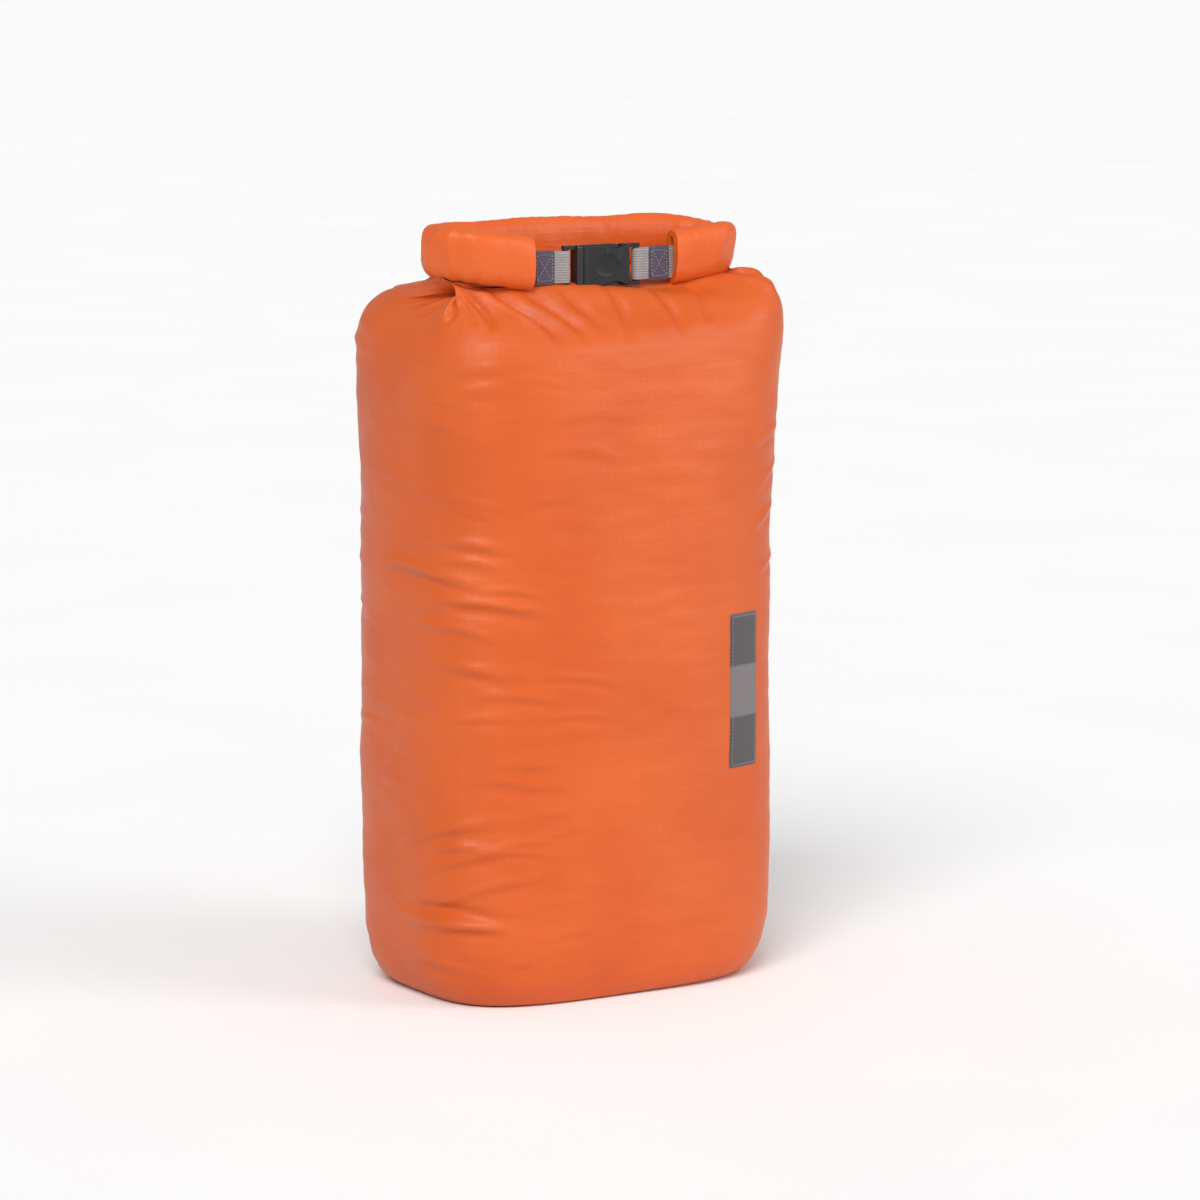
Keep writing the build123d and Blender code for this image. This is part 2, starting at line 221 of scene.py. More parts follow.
class Recipe:
    """A material's nodes, with short calls to add and join them."""

    def __init__(self, name, **sockets):
        self.material = bpy.data.materials.new(name)
        self.material.use_nodes = True
        self.tree = self.material.node_tree
        self.shader = self.tree.nodes["Principled BSDF"]
        for socket, value in sockets.items():
            self.shader.inputs[socket.replace("_", " ")].default_value = value

    def add(self, kind, inputs=(), **settings):
        node = self.tree.nodes.new(kind)
        for setting, value in settings.items():
            setattr(node, setting, value)
        for socket, value in dict(inputs).items():
            self.put(node.inputs[socket], value)
        return node

    def put(self, socket, value):
        """Links a node's first output, or a socket, to an input, or sets the input's value."""
        if isinstance(value, bpy.types.Node):
            value = value.outputs[0]
        if isinstance(value, bpy.types.NodeSocket):
            self.tree.links.new(value, socket)
        else:
            socket.default_value = value

    def place(self, uv=None):
        """Where a point is: on the flat cloth in metres, or in the frame."""
        if uv:
            return self.add("ShaderNodeUVMap", uv_map=uv)
        return self.add("ShaderNodeTexCoord").outputs["Object"]

    def noise(self, place, scale, detail=3.0, rough=0.5):
        return self.add("ShaderNodeTexNoise",
                        {"Vector": place, "Scale": scale, "Detail": detail, "Roughness": rough})

    def stretched(self, place, x, y, z=1.0):
        return self.add("ShaderNodeMapping", {"Vector": place, "Scale": (x, y, z)})

    def math(self, operation, first, second=0.5):
        return self.add("ShaderNodeMath", {0: first, 1: second}, operation=operation)

    def bands(self, place, direction, period):
        """Ridges a period apart, in metres, across the x or y of a place."""
        return self.add("ShaderNodeTexWave", {"Vector": place, "Scale": WAVE_TURN / period},
                        wave_type="BANDS", bands_direction=direction, wave_profile="SIN")

    def ramp(self, factor, *stops):
        """Colour or grey by a factor: each stop is (position, colour)."""
        node = self.add("ShaderNodeValToRGB", {"Fac": factor})
        elements = node.color_ramp.elements
        while len(elements) < len(stops):
            elements.new(0.5)
        for element, (position, colour) in zip(elements, stops):
            element.position = position
            element.color = (*colour, 1.0)
        return node

    def grey_ramp(self, factor, low, high, start=0.0, end=1.0):
        return self.ramp(factor, (start, (low,) * 3), (end, (high,) * 3))

    def mix(self, factor, first, second, blend="MIX"):
        node = self.add("ShaderNodeMix", data_type="RGBA", blend_type=blend)
        for socket, value in zip((node.inputs[0], node.inputs[6], node.inputs[7]),
                                 (factor, first, second)):
            self.put(socket, value)
        return node.outputs[2]

    def bumps(self, *layers):
        """Bumps on top of one another: each layer is (height, distance in metres, strength)."""
        normal = None
        for height, distance, strength in layers:
            bump = self.add("ShaderNodeBump",
                            {"Height": height, "Distance": distance, "Strength": strength})
            if normal is not None:
                self.put(bump.inputs["Normal"], normal)
            normal = bump
        self.put(self.shader.inputs["Normal"], normal)

    def finish(self, colour, roughness):
        self.put(self.shader.inputs["Base Color"], colour)
        self.put(self.shader.inputs["Roughness"], roughness)
        return self.material


NYLON_LIGHT, NYLON_DARK = (0.62, 0.108, 0.016), (0.56, 0.085, 0.01)
RIPSTOP_COLOUR = (0.5, 0.07, 0.008)
WEAVE_PITCH, RIPSTOP_PITCH = 0.0007, 0.005
RIPSTOP_SHARPNESS = 12.0


def coated_nylon(name, painted_light_gain=1.0):
    """Thin plain-woven nylon with a satin waterproof coating and a faint ripstop grid."""
    recipe = Recipe(name, Specular_IOR_Level=0.33, Sheen_Weight=0.01, Sheen_Roughness=0.4)
    cloth = recipe.place("cloth")
    place = recipe.place()
    warp = recipe.bands(cloth, "X", WEAVE_PITCH)
    weft = recipe.bands(cloth, "Y", WEAVE_PITCH)
    weave = recipe.math("MULTIPLY", warp, weft)
    thick_warp = recipe.math("POWER", recipe.bands(cloth, "X", RIPSTOP_PITCH), RIPSTOP_SHARPNESS)
    thick_weft = recipe.math("POWER", recipe.bands(cloth, "Y", RIPSTOP_PITCH), RIPSTOP_SHARPNESS)
    ripstop = recipe.math("MAXIMUM", thick_warp, thick_weft)
    clouds = recipe.noise(place, 14.0)
    crumple = recipe.noise(recipe.stretched(place, 1.0, 1.0, 2.6), 42.0, 4.0, 0.55)
    grain = recipe.noise(cloth, 900.0, 2.0)
    # The colours are scaled by the second argument, which paints light: above 1 the cloth is painted
    # brighter than its own colour.
    light, dark, ribs = (tuple(painted_light_gain * part for part in colour)
                         for colour in (NYLON_LIGHT, NYLON_DARK, RIPSTOP_COLOUR))
    colour = recipe.ramp(clouds, (0.3, dark), (0.7, light))
    thread = recipe.grey_ramp(recipe.math("ADD", recipe.math("MULTIPLY", weave, 0.5),
                                          recipe.math("MULTIPLY", grain, 0.5)), 0.94, 1.04)
    colour = recipe.mix(1.0, colour, thread, "MULTIPLY")
    colour = recipe.mix(recipe.math("MULTIPLY", ripstop, 0.12), colour, (*ribs, 1.0))
    roughness = recipe.grey_ramp(recipe.noise(place, 30.0, 4.0), 0.38, 0.5, 0.3, 0.7)
    recipe.bumps((crumple, 0.0016, 0.35), (ripstop, 0.00012, 0.35), (weave, 0.0001, 0.3))
    return recipe.finish(colour, roughness)


def woven(name, dark, light, period, sheen=0.25):
    """Coarse woven band: ribs along its length with a slanted weave across them."""
    recipe = Recipe(name, Specular_IOR_Level=0.3, Sheen_Weight=sheen, Sheen_Roughness=0.5)
    cloth = recipe.place("cloth")
    slanted = recipe.add("ShaderNodeMapping", {"Vector": cloth, "Rotation": (0, 0, 0.6)})
    ribs = recipe.bands(cloth, "Y", period)
    yarns = recipe.bands(slanted, "X", period * 0.75)
    weave = recipe.math("MULTIPLY", ribs, yarns)
    fuzz = recipe.noise(cloth, 1400.0, 3.0)
    height = recipe.math("ADD", weave, recipe.math("MULTIPLY", fuzz, 0.35))
    colour = recipe.ramp(height, (0.15, dark), (0.9, light))
    worn = recipe.grey_ramp(recipe.noise(recipe.place(), 120.0), 0.9, 1.1, 0.3, 0.7)
    colour = recipe.mix(1.0, colour, worn, "MULTIPLY")
    roughness = recipe.grey_ramp(height, 0.85, 0.68)
    recipe.bumps((height, 0.00035, 0.8))
    return recipe.finish(colour, roughness)


def thread_material(name, dark, light):
    """Twisted polyester sewing thread."""
    recipe = Recipe(name, Specular_IOR_Level=0.4, Sheen_Weight=0.2)
    place = recipe.place()
    turned = recipe.add("ShaderNodeMapping", {"Vector": place, "Rotation": (0.5, 0.6, 0.8)})
    twist = recipe.bands(turned, "X", 0.0004)
    colour = recipe.ramp(twist, (0.2, dark), (0.8, light))
    roughness = recipe.grey_ramp(recipe.noise(place, 700.0), 0.55, 0.75)
    recipe.bumps((twist, 0.0001, 0.6))
    return recipe.finish(colour, roughness)


def moulded_plastic(name, dark, light, low, high, edge_wear=0.35):
    """Moulded acetal with a fine spark texture, rubbed smooth and paler along its edges."""
    recipe = Recipe(name, Specular_IOR_Level=0.3)
    place = recipe.place()
    grain = recipe.noise(place, 2600.0, 2.0, 0.6)
    flow = recipe.noise(place, 160.0, 3.0)
    edge = recipe.grey_ramp(recipe.add("ShaderNodeNewGeometry").outputs["Pointiness"],
                            0.0, 1.0, 0.515, 0.56)
    colour = recipe.ramp(flow, (0.3, dark), (0.7, light))
    rubbed = tuple(min(1.0, 2.6 * part + 0.01) for part in light)
    colour = recipe.mix(recipe.math("MULTIPLY", edge, edge_wear), colour, (*rubbed, 1.0))
    roughness = recipe.mix(edge, recipe.grey_ramp(flow, low, high, 0.3, 0.7),
                           (low - 0.08,) * 3 + (1.0,))
    recipe.bumps((grain, 0.00006, 0.5), (flow, 0.0002, 0.12))
    return recipe.finish(colour, roughness)


def seam_tape_material():
    """Milky heat-welded tape with the sewn seam's ridge showing through."""
    recipe = Recipe("seam_tape", Specular_IOR_Level=0.5, Coat_Weight=0.2)
    place = recipe.place()
    weld = recipe.bands(recipe.add("ShaderNodeMapping",
                                   {"Vector": place, "Rotation": (0, 0.5, 0.8)}), "X", 0.0012)
    cloudy = recipe.noise(place, 90.0, 3.0)
    colour = recipe.ramp(cloudy, (0.3, (0.56, 0.5, 0.45)), (0.7, (0.66, 0.62, 0.58)))
    roughness = recipe.grey_ramp(cloudy, 0.3, 0.5, 0.3, 0.7)
    recipe.bumps((weld, 0.0001, 0.4), (cloudy, 0.0004, 0.3))
    return recipe.finish(colour, roughness)


LABEL_DARK, LABEL_PALE, LABEL_EDGE = (0.08, 0.073, 0.076), (0.185, 0.164, 0.168), (0.12, 0.108, 0.11)


def label_material(low, high):
    """Woven label: a dark, a pale and a dark block up its height, in metres, in satin weave."""
    recipe = Recipe("label_weave", Specular_IOR_Level=0.35, Sheen_Weight=0.15)
    cloth = recipe.place("cloth")
    height = recipe.add("ShaderNodeSeparateXYZ", {"Vector": cloth}).outputs["Y"]
    share = recipe.add("ShaderNodeMapRange", {"Value": height, "From Min": low, "From Max": high})
    blocks = recipe.ramp(share, (0.0, LABEL_EDGE), (0.03, LABEL_DARK), (0.325, LABEL_DARK),
                         (0.34, LABEL_PALE), (0.655, LABEL_PALE), (0.67, LABEL_DARK),
                         (0.965, LABEL_DARK), (0.99, LABEL_EDGE))
    warp = recipe.bands(cloth, "X", 0.0005)
    weft = recipe.bands(cloth, "Y", 0.0004)
    weave = recipe.math("MULTIPLY", warp, weft)
    tone = recipe.grey_ramp(weave, 0.8, 1.2)
    colour = recipe.mix(1.0, blocks, tone, "MULTIPLY")
    roughness = recipe.grey_ramp(recipe.noise(cloth, 800.0), 0.6, 0.8)
    recipe.bumps((weave, 0.00012, 0.6))
    return recipe.finish(colour, roughness)


def floor_material():
    """Plain matt white."""
    recipe = Recipe("floor", Specular_IOR_Level=0.2)
    place = recipe.place()
    colour = recipe.ramp(recipe.noise(place, 3.0), (0.3, (0.93, 0.93, 0.93)),
                         (0.7, (0.95, 0.95, 0.95)))
    return recipe.finish(colour, recipe.grey_ramp(recipe.noise(place, 60.0), 0.75, 0.85))


# --- bag fabric: shape before filling ----------------------------------------

def outline(centre_x, half_x, half_y, squareness, count=COLUMNS):
    """Evenly spaced points round a boxy outline, from the left fold by the front."""
    halves = []
    for start in (math.pi, 2 * math.pi):
        angle = np.linspace(start, start + math.pi, OUTLINE_STEPS)
        along, across = np.cos(angle), np.sin(angle)
        points = np.stack([centre_x + half_x * np.sign(along) * abs(along) ** (2 / squareness),
                           half_y * np.sign(across) * abs(across) ** (2 / squareness)], 1)
        halves.append(evenly(points, count // 2 + 1)[:-1])
    return np.concatenate(halves)


def section_at(height):
    """Centre x, half width, half depth and squareness of the filled bag at a height."""
    return [np.interp(height, BAG_SECTIONS[:, 0], BAG_SECTIONS[:, k]) for k in range(1, 5)]


def collar_place(distance, side, outward=0.0):
    """(x, y) a distance along the roll from the closure's centre at the back; side is -1 left."""
    turned = (distance - BACK_HALF) / BEND_RADIUS
    if turned <= 0:
        x, y = distance, outward
    elif turned <= math.pi:
        reach = BEND_RADIUS + outward
        x, y = BACK_HALF + reach * math.sin(turned), -BEND_RADIUS + reach * math.cos(turned)
    else:
        x, y = BACK_HALF - (distance - BACK_HALF - BEND_LENGTH), FRONT_Y - outward
    return CLOSURE_X + side * x, y


def neck_ring():
    """The fabric's top edge: a flat double line along the roll, open to the front."""
    distances = np.linspace(0, COLLAR_HALF, COLLAR_STEPS)
    layers = []
    for outward in (-NECK_GAP, NECK_GAP):
        left = [collar_place(d, -1, outward) for d in distances[::-1]]
        right = [collar_place(d, 1, outward) for d in distances[1:]]
        layers.append(evenly(left + right, COLUMNS // 2 + 1))
    return np.concatenate([layers[0][:-1], layers[1][::-1][:-1]])


def filled_grid():
    """Rows of points from the base seam to the roll, as if the bag were blown up."""
    rows = []
    for height in np.linspace(BAG_SECTIONS[0][0], SHOULDER_Z, BODY_ROWS):
        ring = outline(*section_at(height))
        rows.append(np.column_stack([ring, np.full(COLUMNS, height)]))
    shoulder, ring = rows[-1], neck_ring()
    forward = np.clip(-ring[:, 1] / BEND_RADIUS - 1, 0, 1)
    top = NECK_Z + (NECK_END_Z - NECK_Z) * forward
    for share in np.linspace(0, 1, NECK_ROWS + 1)[1:]:
        inward, upward = 1 - math.cos(share * math.pi / 2), math.sin(share * math.pi / 2)
        level = (1 - inward) * shoulder[:, :2] + inward * ring
        rows.append(np.column_stack([level, shoulder[:, 2] + (top - shoulder[:, 2]) * upward]))
    return np.array(rows)


def flat_heights():
    """How far up the flat cloth each row is."""
    body = (SHOULDER_Z - BAG_SECTIONS[0][0]) * BODY_SLACK * np.linspace(0, 1, BODY_ROWS)
    neck = body[-1] + NECK_LENGTH * np.linspace(0, 1, NECK_ROWS + 1)[1:]
    return np.concatenate([body, neck])


def flat_grid():
    """The same points on the unfilled tube, opened to a circle."""
    heights = flat_heights()
    rows = len(heights)
    radius = np.interp(np.arange(rows), [0, BODY_ROWS * TAPERS_FROM, rows - 1],
                       [FLAT_ROUND, FLAT_ROUND, FLAT_ROUND_TOP]) / (2 * math.pi)
    angle = np.linspace(math.pi, 3 * math.pi, COLUMNS, endpoint=False)
    grid = np.zeros((rows, COLUMNS, 3))
    grid[:, :, 0] = radius[:, None] * np.cos(angle)
    grid[:, :, 1] = radius[:, None] * np.sin(angle)
    grid[:, :, 2] = heights[:, None]
    return grid


# --- bag fabric: filling by cloth simulation ---------------------------------

SIM_SCALE = 0.01            # Blender units for a millimetre while simulating
SIM_FRAMES = 36
FABRIC_MASS = 0.3
FABRIC_STIFFNESS, FABRIC_BENDING = 30.0, 0.05
AIR_PRESSURE = 1.5
CLOTH_QUALITY, COLLISION_QUALITY = 6, 3
DAMPING, BENDING_DAMPING, AIR_DAMPING = 5.0, 0.5, 3.0
SKIN_GAP, SELF_GAP = 0.015, 0.012   # in Blender units while simulating, as are the next two
CONTENTS_SKIN, CONTENTS_CORE = 0.01, 0.05
CONTENTS_GRIP = 5.0
CONTENTS_COLUMNS, CONTENTS_RINGS = 96, 40
CONTENTS_INSET = 2.5
CONTENTS_BASE_Z = 6.0
CONTENTS_RIM_Z, CONTENTS_RIM = 402.0, 28.0      # where the rim starts and its radius
RIM_ANGLES = (15, 30, 45, 60, 75, 90)
CONTENTS_CROWN = 10.0
CROWN_SHARES = (0.25, 0.5, 0.75, 0.95)          # rings from the rim to the middle line
LUMP_SIZE, LUMP_HEIGHT = 70.0, 2.0
EARS_FROM_Z, EARS_RISE = 330.0, 90.0            # height over which the ears set in
EARS = [                    # clothes that fill a corner: place, reach, lift, push in x and in y
    ((110.0, -50.0), 34.0, 24.0, (9.0, -7.0)),
    ((-104.0, 36.0), 48.0, 13.0, (-3.0, 2.0)),
]
FABRIC_CAP = 34.0           # most that the simulation may move a point


def contents_points():
    """Packed clothes inside the bag: rings up the sides, a rounded rim and a low crown."""
    rings = []
    for height in np.linspace(CONTENTS_BASE_Z, CONTENTS_RIM_Z, CONTENTS_RINGS):
        centre, half_x, half_y, squareness = section_at(height)
        ring = outline(centre, half_x - CONTENTS_INSET, half_y - CONTENTS_INSET, squareness,
                       CONTENTS_COLUMNS)
        rings.append(np.column_stack([ring, np.full(CONTENTS_COLUMNS, height)]))
    centre, half_x, half_y, squareness = section_at(CONTENTS_RIM_Z)
    for angle in np.radians(RIM_ANGLES):
        inset = CONTENTS_INSET + CONTENTS_RIM * (1 - math.cos(angle))
        ring = outline(centre, half_x - inset, half_y - inset, squareness, CONTENTS_COLUMNS)
        height = CONTENTS_RIM_Z + CONTENTS_RIM * math.sin(angle)
        rings.append(np.column_stack([ring, np.full(CONTENTS_COLUMNS, height)]))
    rim = rings[-1]
    for share in CROWN_SHARES:
        crown = rim * np.array([1 - 0.6 * share, 1 - share, 1])
        crown[:, 2] += CONTENTS_CROWN * math.sin(share * math.pi / 2)
        rings.append(crown)
    rings = np.array(rings)
    for place, reach, lift, push in EARS:
        away = np.hypot(rings[:, :, 0] - place[0], rings[:, :, 1] - place[1]) / reach
        raised = np.exp(-away ** 2) * smoothstep((rings[:, :, 2] - EARS_FROM_Z) / EARS_RISE)
        rings += raised[:, :, None] * np.array([*push, lift])
    return rings


def add_contents():
    """The contents as a collision object, with a lumpy surface."""
    rings = contents_points()
    lumps = noise_of(rings, LUMP_SIZE, 5.3).reshape(rings.shape[:2]) * LUMP_HEIGHT
    rings = rings + grid_normals(rings) * lumps[:, :, None]
    rows = len(rings)
    points = np.concatenate([rings.reshape(-1, 3), [rings[-1].mean(0), rings[0].mean(0)]])
    faces = grid_faces(rows, CONTENTS_COLUMNS, closed=True)
    last = (rows - 1) * CONTENTS_COLUMNS
    for column in range(CONTENTS_COLUMNS):
        after = (column + 1) % CONTENTS_COLUMNS
        faces.append((last + column, last + after, len(points) - 2))
        faces.append((after, column, len(points) - 1))
    mesh = bpy.data.meshes.new("contents")
    mesh.from_pydata((points * SIM_SCALE).tolist(), [], faces)
    built = bpy.data.objects.new("contents", mesh)
    bpy.context.scene.collection.objects.link(built)
    built.modifiers.new("collision", "COLLISION")
    built.collision.thickness_outer = CONTENTS_SKIN
    built.collision.thickness_inner = CONTENTS_CORE
    built.collision.cloth_friction = CONTENTS_GRIP
    return built


def cloth_object(start, flat):
    """The fabric as an object with its flat shape, and a group of the points that are held."""
    rows = len(start)
    floor_point = [[0, 0, start[0, 0, 2]]]
    points = np.concatenate([start.reshape(-1, 3), floor_point]) * SIM_SCALE
    flat_points = np.concatenate([flat.reshape(-1, 3), [[0, 0, 0]]]) * SIM_SCALE
    faces = grid_faces(rows, COLUMNS, closed=True)
    centre = rows * COLUMNS
    faces += [((column + 1) % COLUMNS, column, centre) for column in range(COLUMNS)]
    mesh = bpy.data.meshes.new("cloth")
    mesh.from_pydata(points.tolist(), [], faces)
    cloth = bpy.data.objects.new("cloth", mesh)
    bpy.context.scene.collection.objects.link(cloth)
    cloth.shape_key_add(name="Basis")
    rest = cloth.shape_key_add(name="flat")
    rest.data.foreach_set("co", flat_points.ravel())
    rest.value = 0
    held = cloth.vertex_groups.new(name="held")
    held.add(list(range(COLUMNS)) + [centre], 1.0, "REPLACE")
    held.add(list(range((rows - 1) * COLUMNS, rows * COLUMNS)), 1.0, "REPLACE")
    return cloth


def add_cloth(start, flat):
    """The fabric as a cloth simulation, held along its top edge and its base seam."""
    cloth = cloth_object(start, flat)
    modifier = cloth.modifiers.new("cloth", "CLOTH")
    settings = modifier.settings
    settings.quality = CLOTH_QUALITY
    settings.mass = FABRIC_MASS
    settings.tension_stiffness = FABRIC_STIFFNESS
    settings.compression_stiffness = FABRIC_STIFFNESS
    settings.shear_stiffness = FABRIC_STIFFNESS / 2
    settings.bending_stiffness = FABRIC_BENDING
    settings.tension_damping = DAMPING
    settings.compression_damping = DAMPING
    settings.shear_damping = DAMPING
    settings.bending_damping = BENDING_DAMPING
    settings.air_damping = AIR_DAMPING
    settings.vertex_group_mass = "held"
    settings.rest_shape_key = cloth.data.shape_keys.key_blocks["flat"]
    settings.use_pressure = True
    settings.uniform_pressure_force = AIR_PRESSURE
    modifier.collision_settings.use_self_collision = True
    modifier.collision_settings.self_distance_min = SELF_GAP
    modifier.collision_settings.distance_min = SKIN_GAP
    modifier.collision_settings.collision_quality = COLLISION_QUALITY
    modifier.point_cache.frame_start = 1
    modifier.point_cache.frame_end = SIM_FRAMES
    return cloth


def simulate(start, flat):
    """The fabric settled over its contents: the same grid with its points moved."""
    contents = add_contents()
    cloth = add_cloth(start, flat)
    scene = bpy.context.scene
    scene.frame_start, scene.frame_end = 1, SIM_FRAMES
    for step in range(1, SIM_FRAMES + 1):
        scene.frame_set(step)
    settled = cloth.evaluated_get(bpy.context.evaluated_depsgraph_get())
    places = np.zeros(len(settled.data.vertices) * 3)
    settled.data.vertices.foreach_get("co", places)
    for helper in (cloth, contents):
        bpy.data.objects.remove(helper)
    scene.frame_set(1)
    grid = places.reshape(-1, 3)[:start.shape[0] * COLUMNS].reshape(start.shape) / SIM_SCALE
    moved = grid - start
    distance = np.linalg.norm(moved, axis=2, keepdims=True)
    return start + moved * np.minimum(1, FABRIC_CAP / np.maximum(distance, 1e-9))


# --- bag fabric: wrinkles ----------------------------------------------------

# Folds of a packed bag. Each is (way round from the left fold, way up the cloth) at its start
# and at its end, then its half width and its height, below zero for a crease.
FOLDS = [
    # left side and the front beside it
    ((-25, 273), (88, 262), 4.2, 2.8),
    ((35, 255), (125, 246), 4.2, 3.0),
    ((70, 262), (118, 259), 3.0, 1.5),
    ((20, 240), (92, 232), 3.4, 1.5),
    ((30, 290), (110, 284), 3.6, 1.1),
    ((10, 318), (96, 312), 3.8, 1.0),
    ((30, 214), (118, 206), 3.6, 1.2),
    ((60, 196), (140, 190), 3.2, 1.0),
    ((0, 92), (112, 122), 4.2, 2.0),
    ((18, 76), (120, 104), 3.8, 1.7),
    ((40, 62), (130, 84), 3.6, 1.2),
    ((5, 56), (96, 57), 4.5, -3.2),
    ((14, 48), (104, 50), 4.0, 2.0),
    ((20, 30), (70, 20), 4.0, 1.4),
    # right edge of the front
    ((276, 286), (322, 302), 3.4, 1.3),
    ((284, 312), (326, 330), 3.2, 1.2),
    ((270, 336), (320, 350), 3.2, 1.1),
    ((280, 258), (332, 268), 3.0, 1.0),
    # gathers under the roll
    ((92, 482), (130, 410), 4.8, -4.4),
    ((74, 482), (84, 424), 4.2, -4.0),
    ((52, 484), (48, 430), 4.2, -3.2),
    ((28, 486), (8, 440), 4.5, -3.4),
    ((118, 480), (150, 410), 4.8, -3.6),
    ((146, 476), (164, 418), 5.0, -2.6),
    ((184, 476), (180, 410), 5.0, -3.0),
    ((214, 476), (224, 412), 4.5, -2.8),
    ((250, 478), (246, 420), 4.5, -2.4),
    ((286, 482), (322, 430), 5.0, -4.4),
    ((300, 488), (338, 448), 4.5, 3.0),
    ((330, 488), (352, 440), 4.5, -3.4),
    # back and right side
    ((470, 276), (556, 266), 4.0, 2.0),
    ((590, 300), (676, 286), 4.0, 1.9),
    ((450, 120), (530, 142), 4.0, 1.7),
    ((606, 92), (700, 112), 4.0, 1.8),
    ((596, 192), (690, 180), 3.6, 1.6),
    ((420, 340), (486, 354), 3.6, 1.5),
    ((640, 380), (700, 396), 4.0, 1.6),
    ((440, 470), (470, 424), 4.5, -2.2),
    ((520, 470), (530, 426), 4.5, -1.8),
    ((600, 470), (588, 424), 4.5, -2.0),
    ((680, 472), (656, 428), 4.5, -2.4),
]
FOLD_BOW = 0.06             # sideways bow of a fold, as a share of its length
FOLD_FADE = 1.3
TROUGH_DEPTH, TROUGH_PLACE = 0.55, 1.5      # of the trough under a ridge, by its height and width
SMALL_FOLDS = 150
SMALL_FOLD_PLACES = (0.45, 1.18)            # shares of the way round, from the right edge by the back
SMALL_FOLD_HEIGHTS = (25, 410)
SMALL_FOLD_LENGTHS, SMALL_FOLD_SLOPE = (25, 70), 0.12
SMALL_FOLD_WIDTHS, SMALL_FOLD_DEPTHS = (2.4, 4.2), (0.3, 1.1)
BACK_SEAM = 0.75            # share of the way round
SEAM_HALF_WIDTH, SEAM_HEIGHT = 5.0, 0.9
RIPPLES = [                 # height, size and seed of the noise over the whole cloth
    (0.45, (26, 26, 9), 3.1),
    (1.1, (60, 60, 45), 8.7),
]
PINCHED_DEPTH, OPEN_DEPTH = 0.3, 5.0    # how far creases sink by the roll, and how much more below
PINCHED_LENGTH, OPENING_LENGTH = 12.0, 55.0
BASE_HOLD, ROLL_HOLD = 12.0, 24.0       # the seam and the roll keep the cloth flat this near
NECK_EASE_ROWS, NECK_EASE_BAND = 12, 16
BODY_EASE, NECK_EASE, EASE_ROUNDS = 0.12, 0.45, 4
LOWEST_CLOTH = 0.6


def fold(around, height, start, end, half_width, depth):
    """Height of one fold over the cloth: a ridge with a trough under it, fading at its ends."""
    along = np.array(end, float) - start
    length = np.linalg.norm(along)
    along /= length
    from_start = (around - start[0] + FLAT_ROUND / 2) % FLAT_ROUND - FLAT_ROUND / 2
    rise = height - start[1]
    travelled = (from_start * along[0] + rise * along[1]) / length
    bow = FOLD_BOW * length * np.sin(np.pi * np.clip(travelled, 0, 1))
    across = (rise * along[0] - from_start * along[1] - bow) / half_width
    fade = np.clip(4 * travelled * (1 - travelled), 0, 1) ** FOLD_FADE
    profile = np.exp(-across ** 2) - TROUGH_DEPTH * np.exp(-(across + TROUGH_PLACE) ** 2)
    return depth * fade * profile


def relaxed(grid, rounds, strength):
    """The grid with its sharpest bumps eased, as much as strength says for each row."""
    for _ in range(rounds):
        around = (np.roll(grid, 1, axis=1) + np.roll(grid, -1, axis=1)) / 2
        eased = grid.copy()
        eased[1:-1] = (around[1:-1] + (grid[2:] + grid[:-2]) / 2) / 2
        grid = grid + (eased - grid) * strength[:, None, None]
    return grid


def wrinkle(grid, way_up):
    """Adds the folds, small crumples and the back seam to the settled fabric."""
    rows, columns, _ = grid.shape
    around = np.broadcast_to(np.arange(columns) * FLAT_ROUND / columns, (rows, columns))
    height = np.broadcast_to((way_up / BODY_SLACK)[:, None], (rows, columns))
    lift = np.zeros((rows, columns))
    for start, end, half_width, depth in FOLDS:
        lift += fold(around, height, start, end, half_width, depth)
    chance = random.Random(17)
    for _ in range(SMALL_FOLDS):
        start = (chance.uniform(*SMALL_FOLD_PLACES) * FLAT_ROUND,
                 chance.uniform(*SMALL_FOLD_HEIGHTS))
        reach, slope = chance.uniform(*SMALL_FOLD_LENGTHS), chance.gauss(0, SMALL_FOLD_SLOPE)
        end = (start[0] + reach, start[1] + slope * reach)
        half_width, depth = chance.uniform(*SMALL_FOLD_WIDTHS), chance.uniform(*SMALL_FOLD_DEPTHS)
        lift += fold(around, height, start, end, half_width, depth)
    seam = (around - BACK_SEAM * FLAT_ROUND) / SEAM_HALF_WIDTH
    lift += SEAM_HEIGHT * np.exp(-seam ** 6)
    for ripple, size, seed in RIPPLES:
        lift += ripple * noise_of(grid, size, seed).reshape(rows, columns)
    below_roll = height[-1] - height
    opened = smoothstep((below_roll - PINCHED_LENGTH) / OPENING_LENGTH)
    deepest = PINCHED_DEPTH + OPEN_DEPTH * opened
    held = smoothstep(height / BASE_HOLD) * smoothstep(below_roll / ROLL_HOLD)
    lift = np.maximum(lift * held, -deepest)
    return grid + grid_normals(grid) * lift[:, :, None]


def bag_grid():
    """The finished fabric of the bag as a fine grid, and how far up the cloth each row is."""
    start = filled_grid()
    heights = flat_heights()
    grid = simulate(start, flat_grid())
    neck = smoothstep((np.arange(len(grid)) - BODY_ROWS + NECK_EASE_ROWS) / NECK_EASE_BAND)
    below_edge = np.arange(len(grid)) < len(grid) - 1
    grid = relaxed(grid, EASE_ROUNDS, (BODY_EASE + NECK_EASE * neck) * below_edge)
    grid = doubled(doubled(doubled(grid, 1, True), 0, False), 0, False)
    heights = doubled(doubled(heights[:, None], 0, False), 0, False)[:, 0]
    grid = wrinkle(grid, heights)
    grid[:, :, 2] = np.maximum(grid[:, :, 2], LOWEST_CLOTH)
    return grid, heights


BLEND_LEAN = (0.1, -0.45, 0.9)      # a direction, out and up
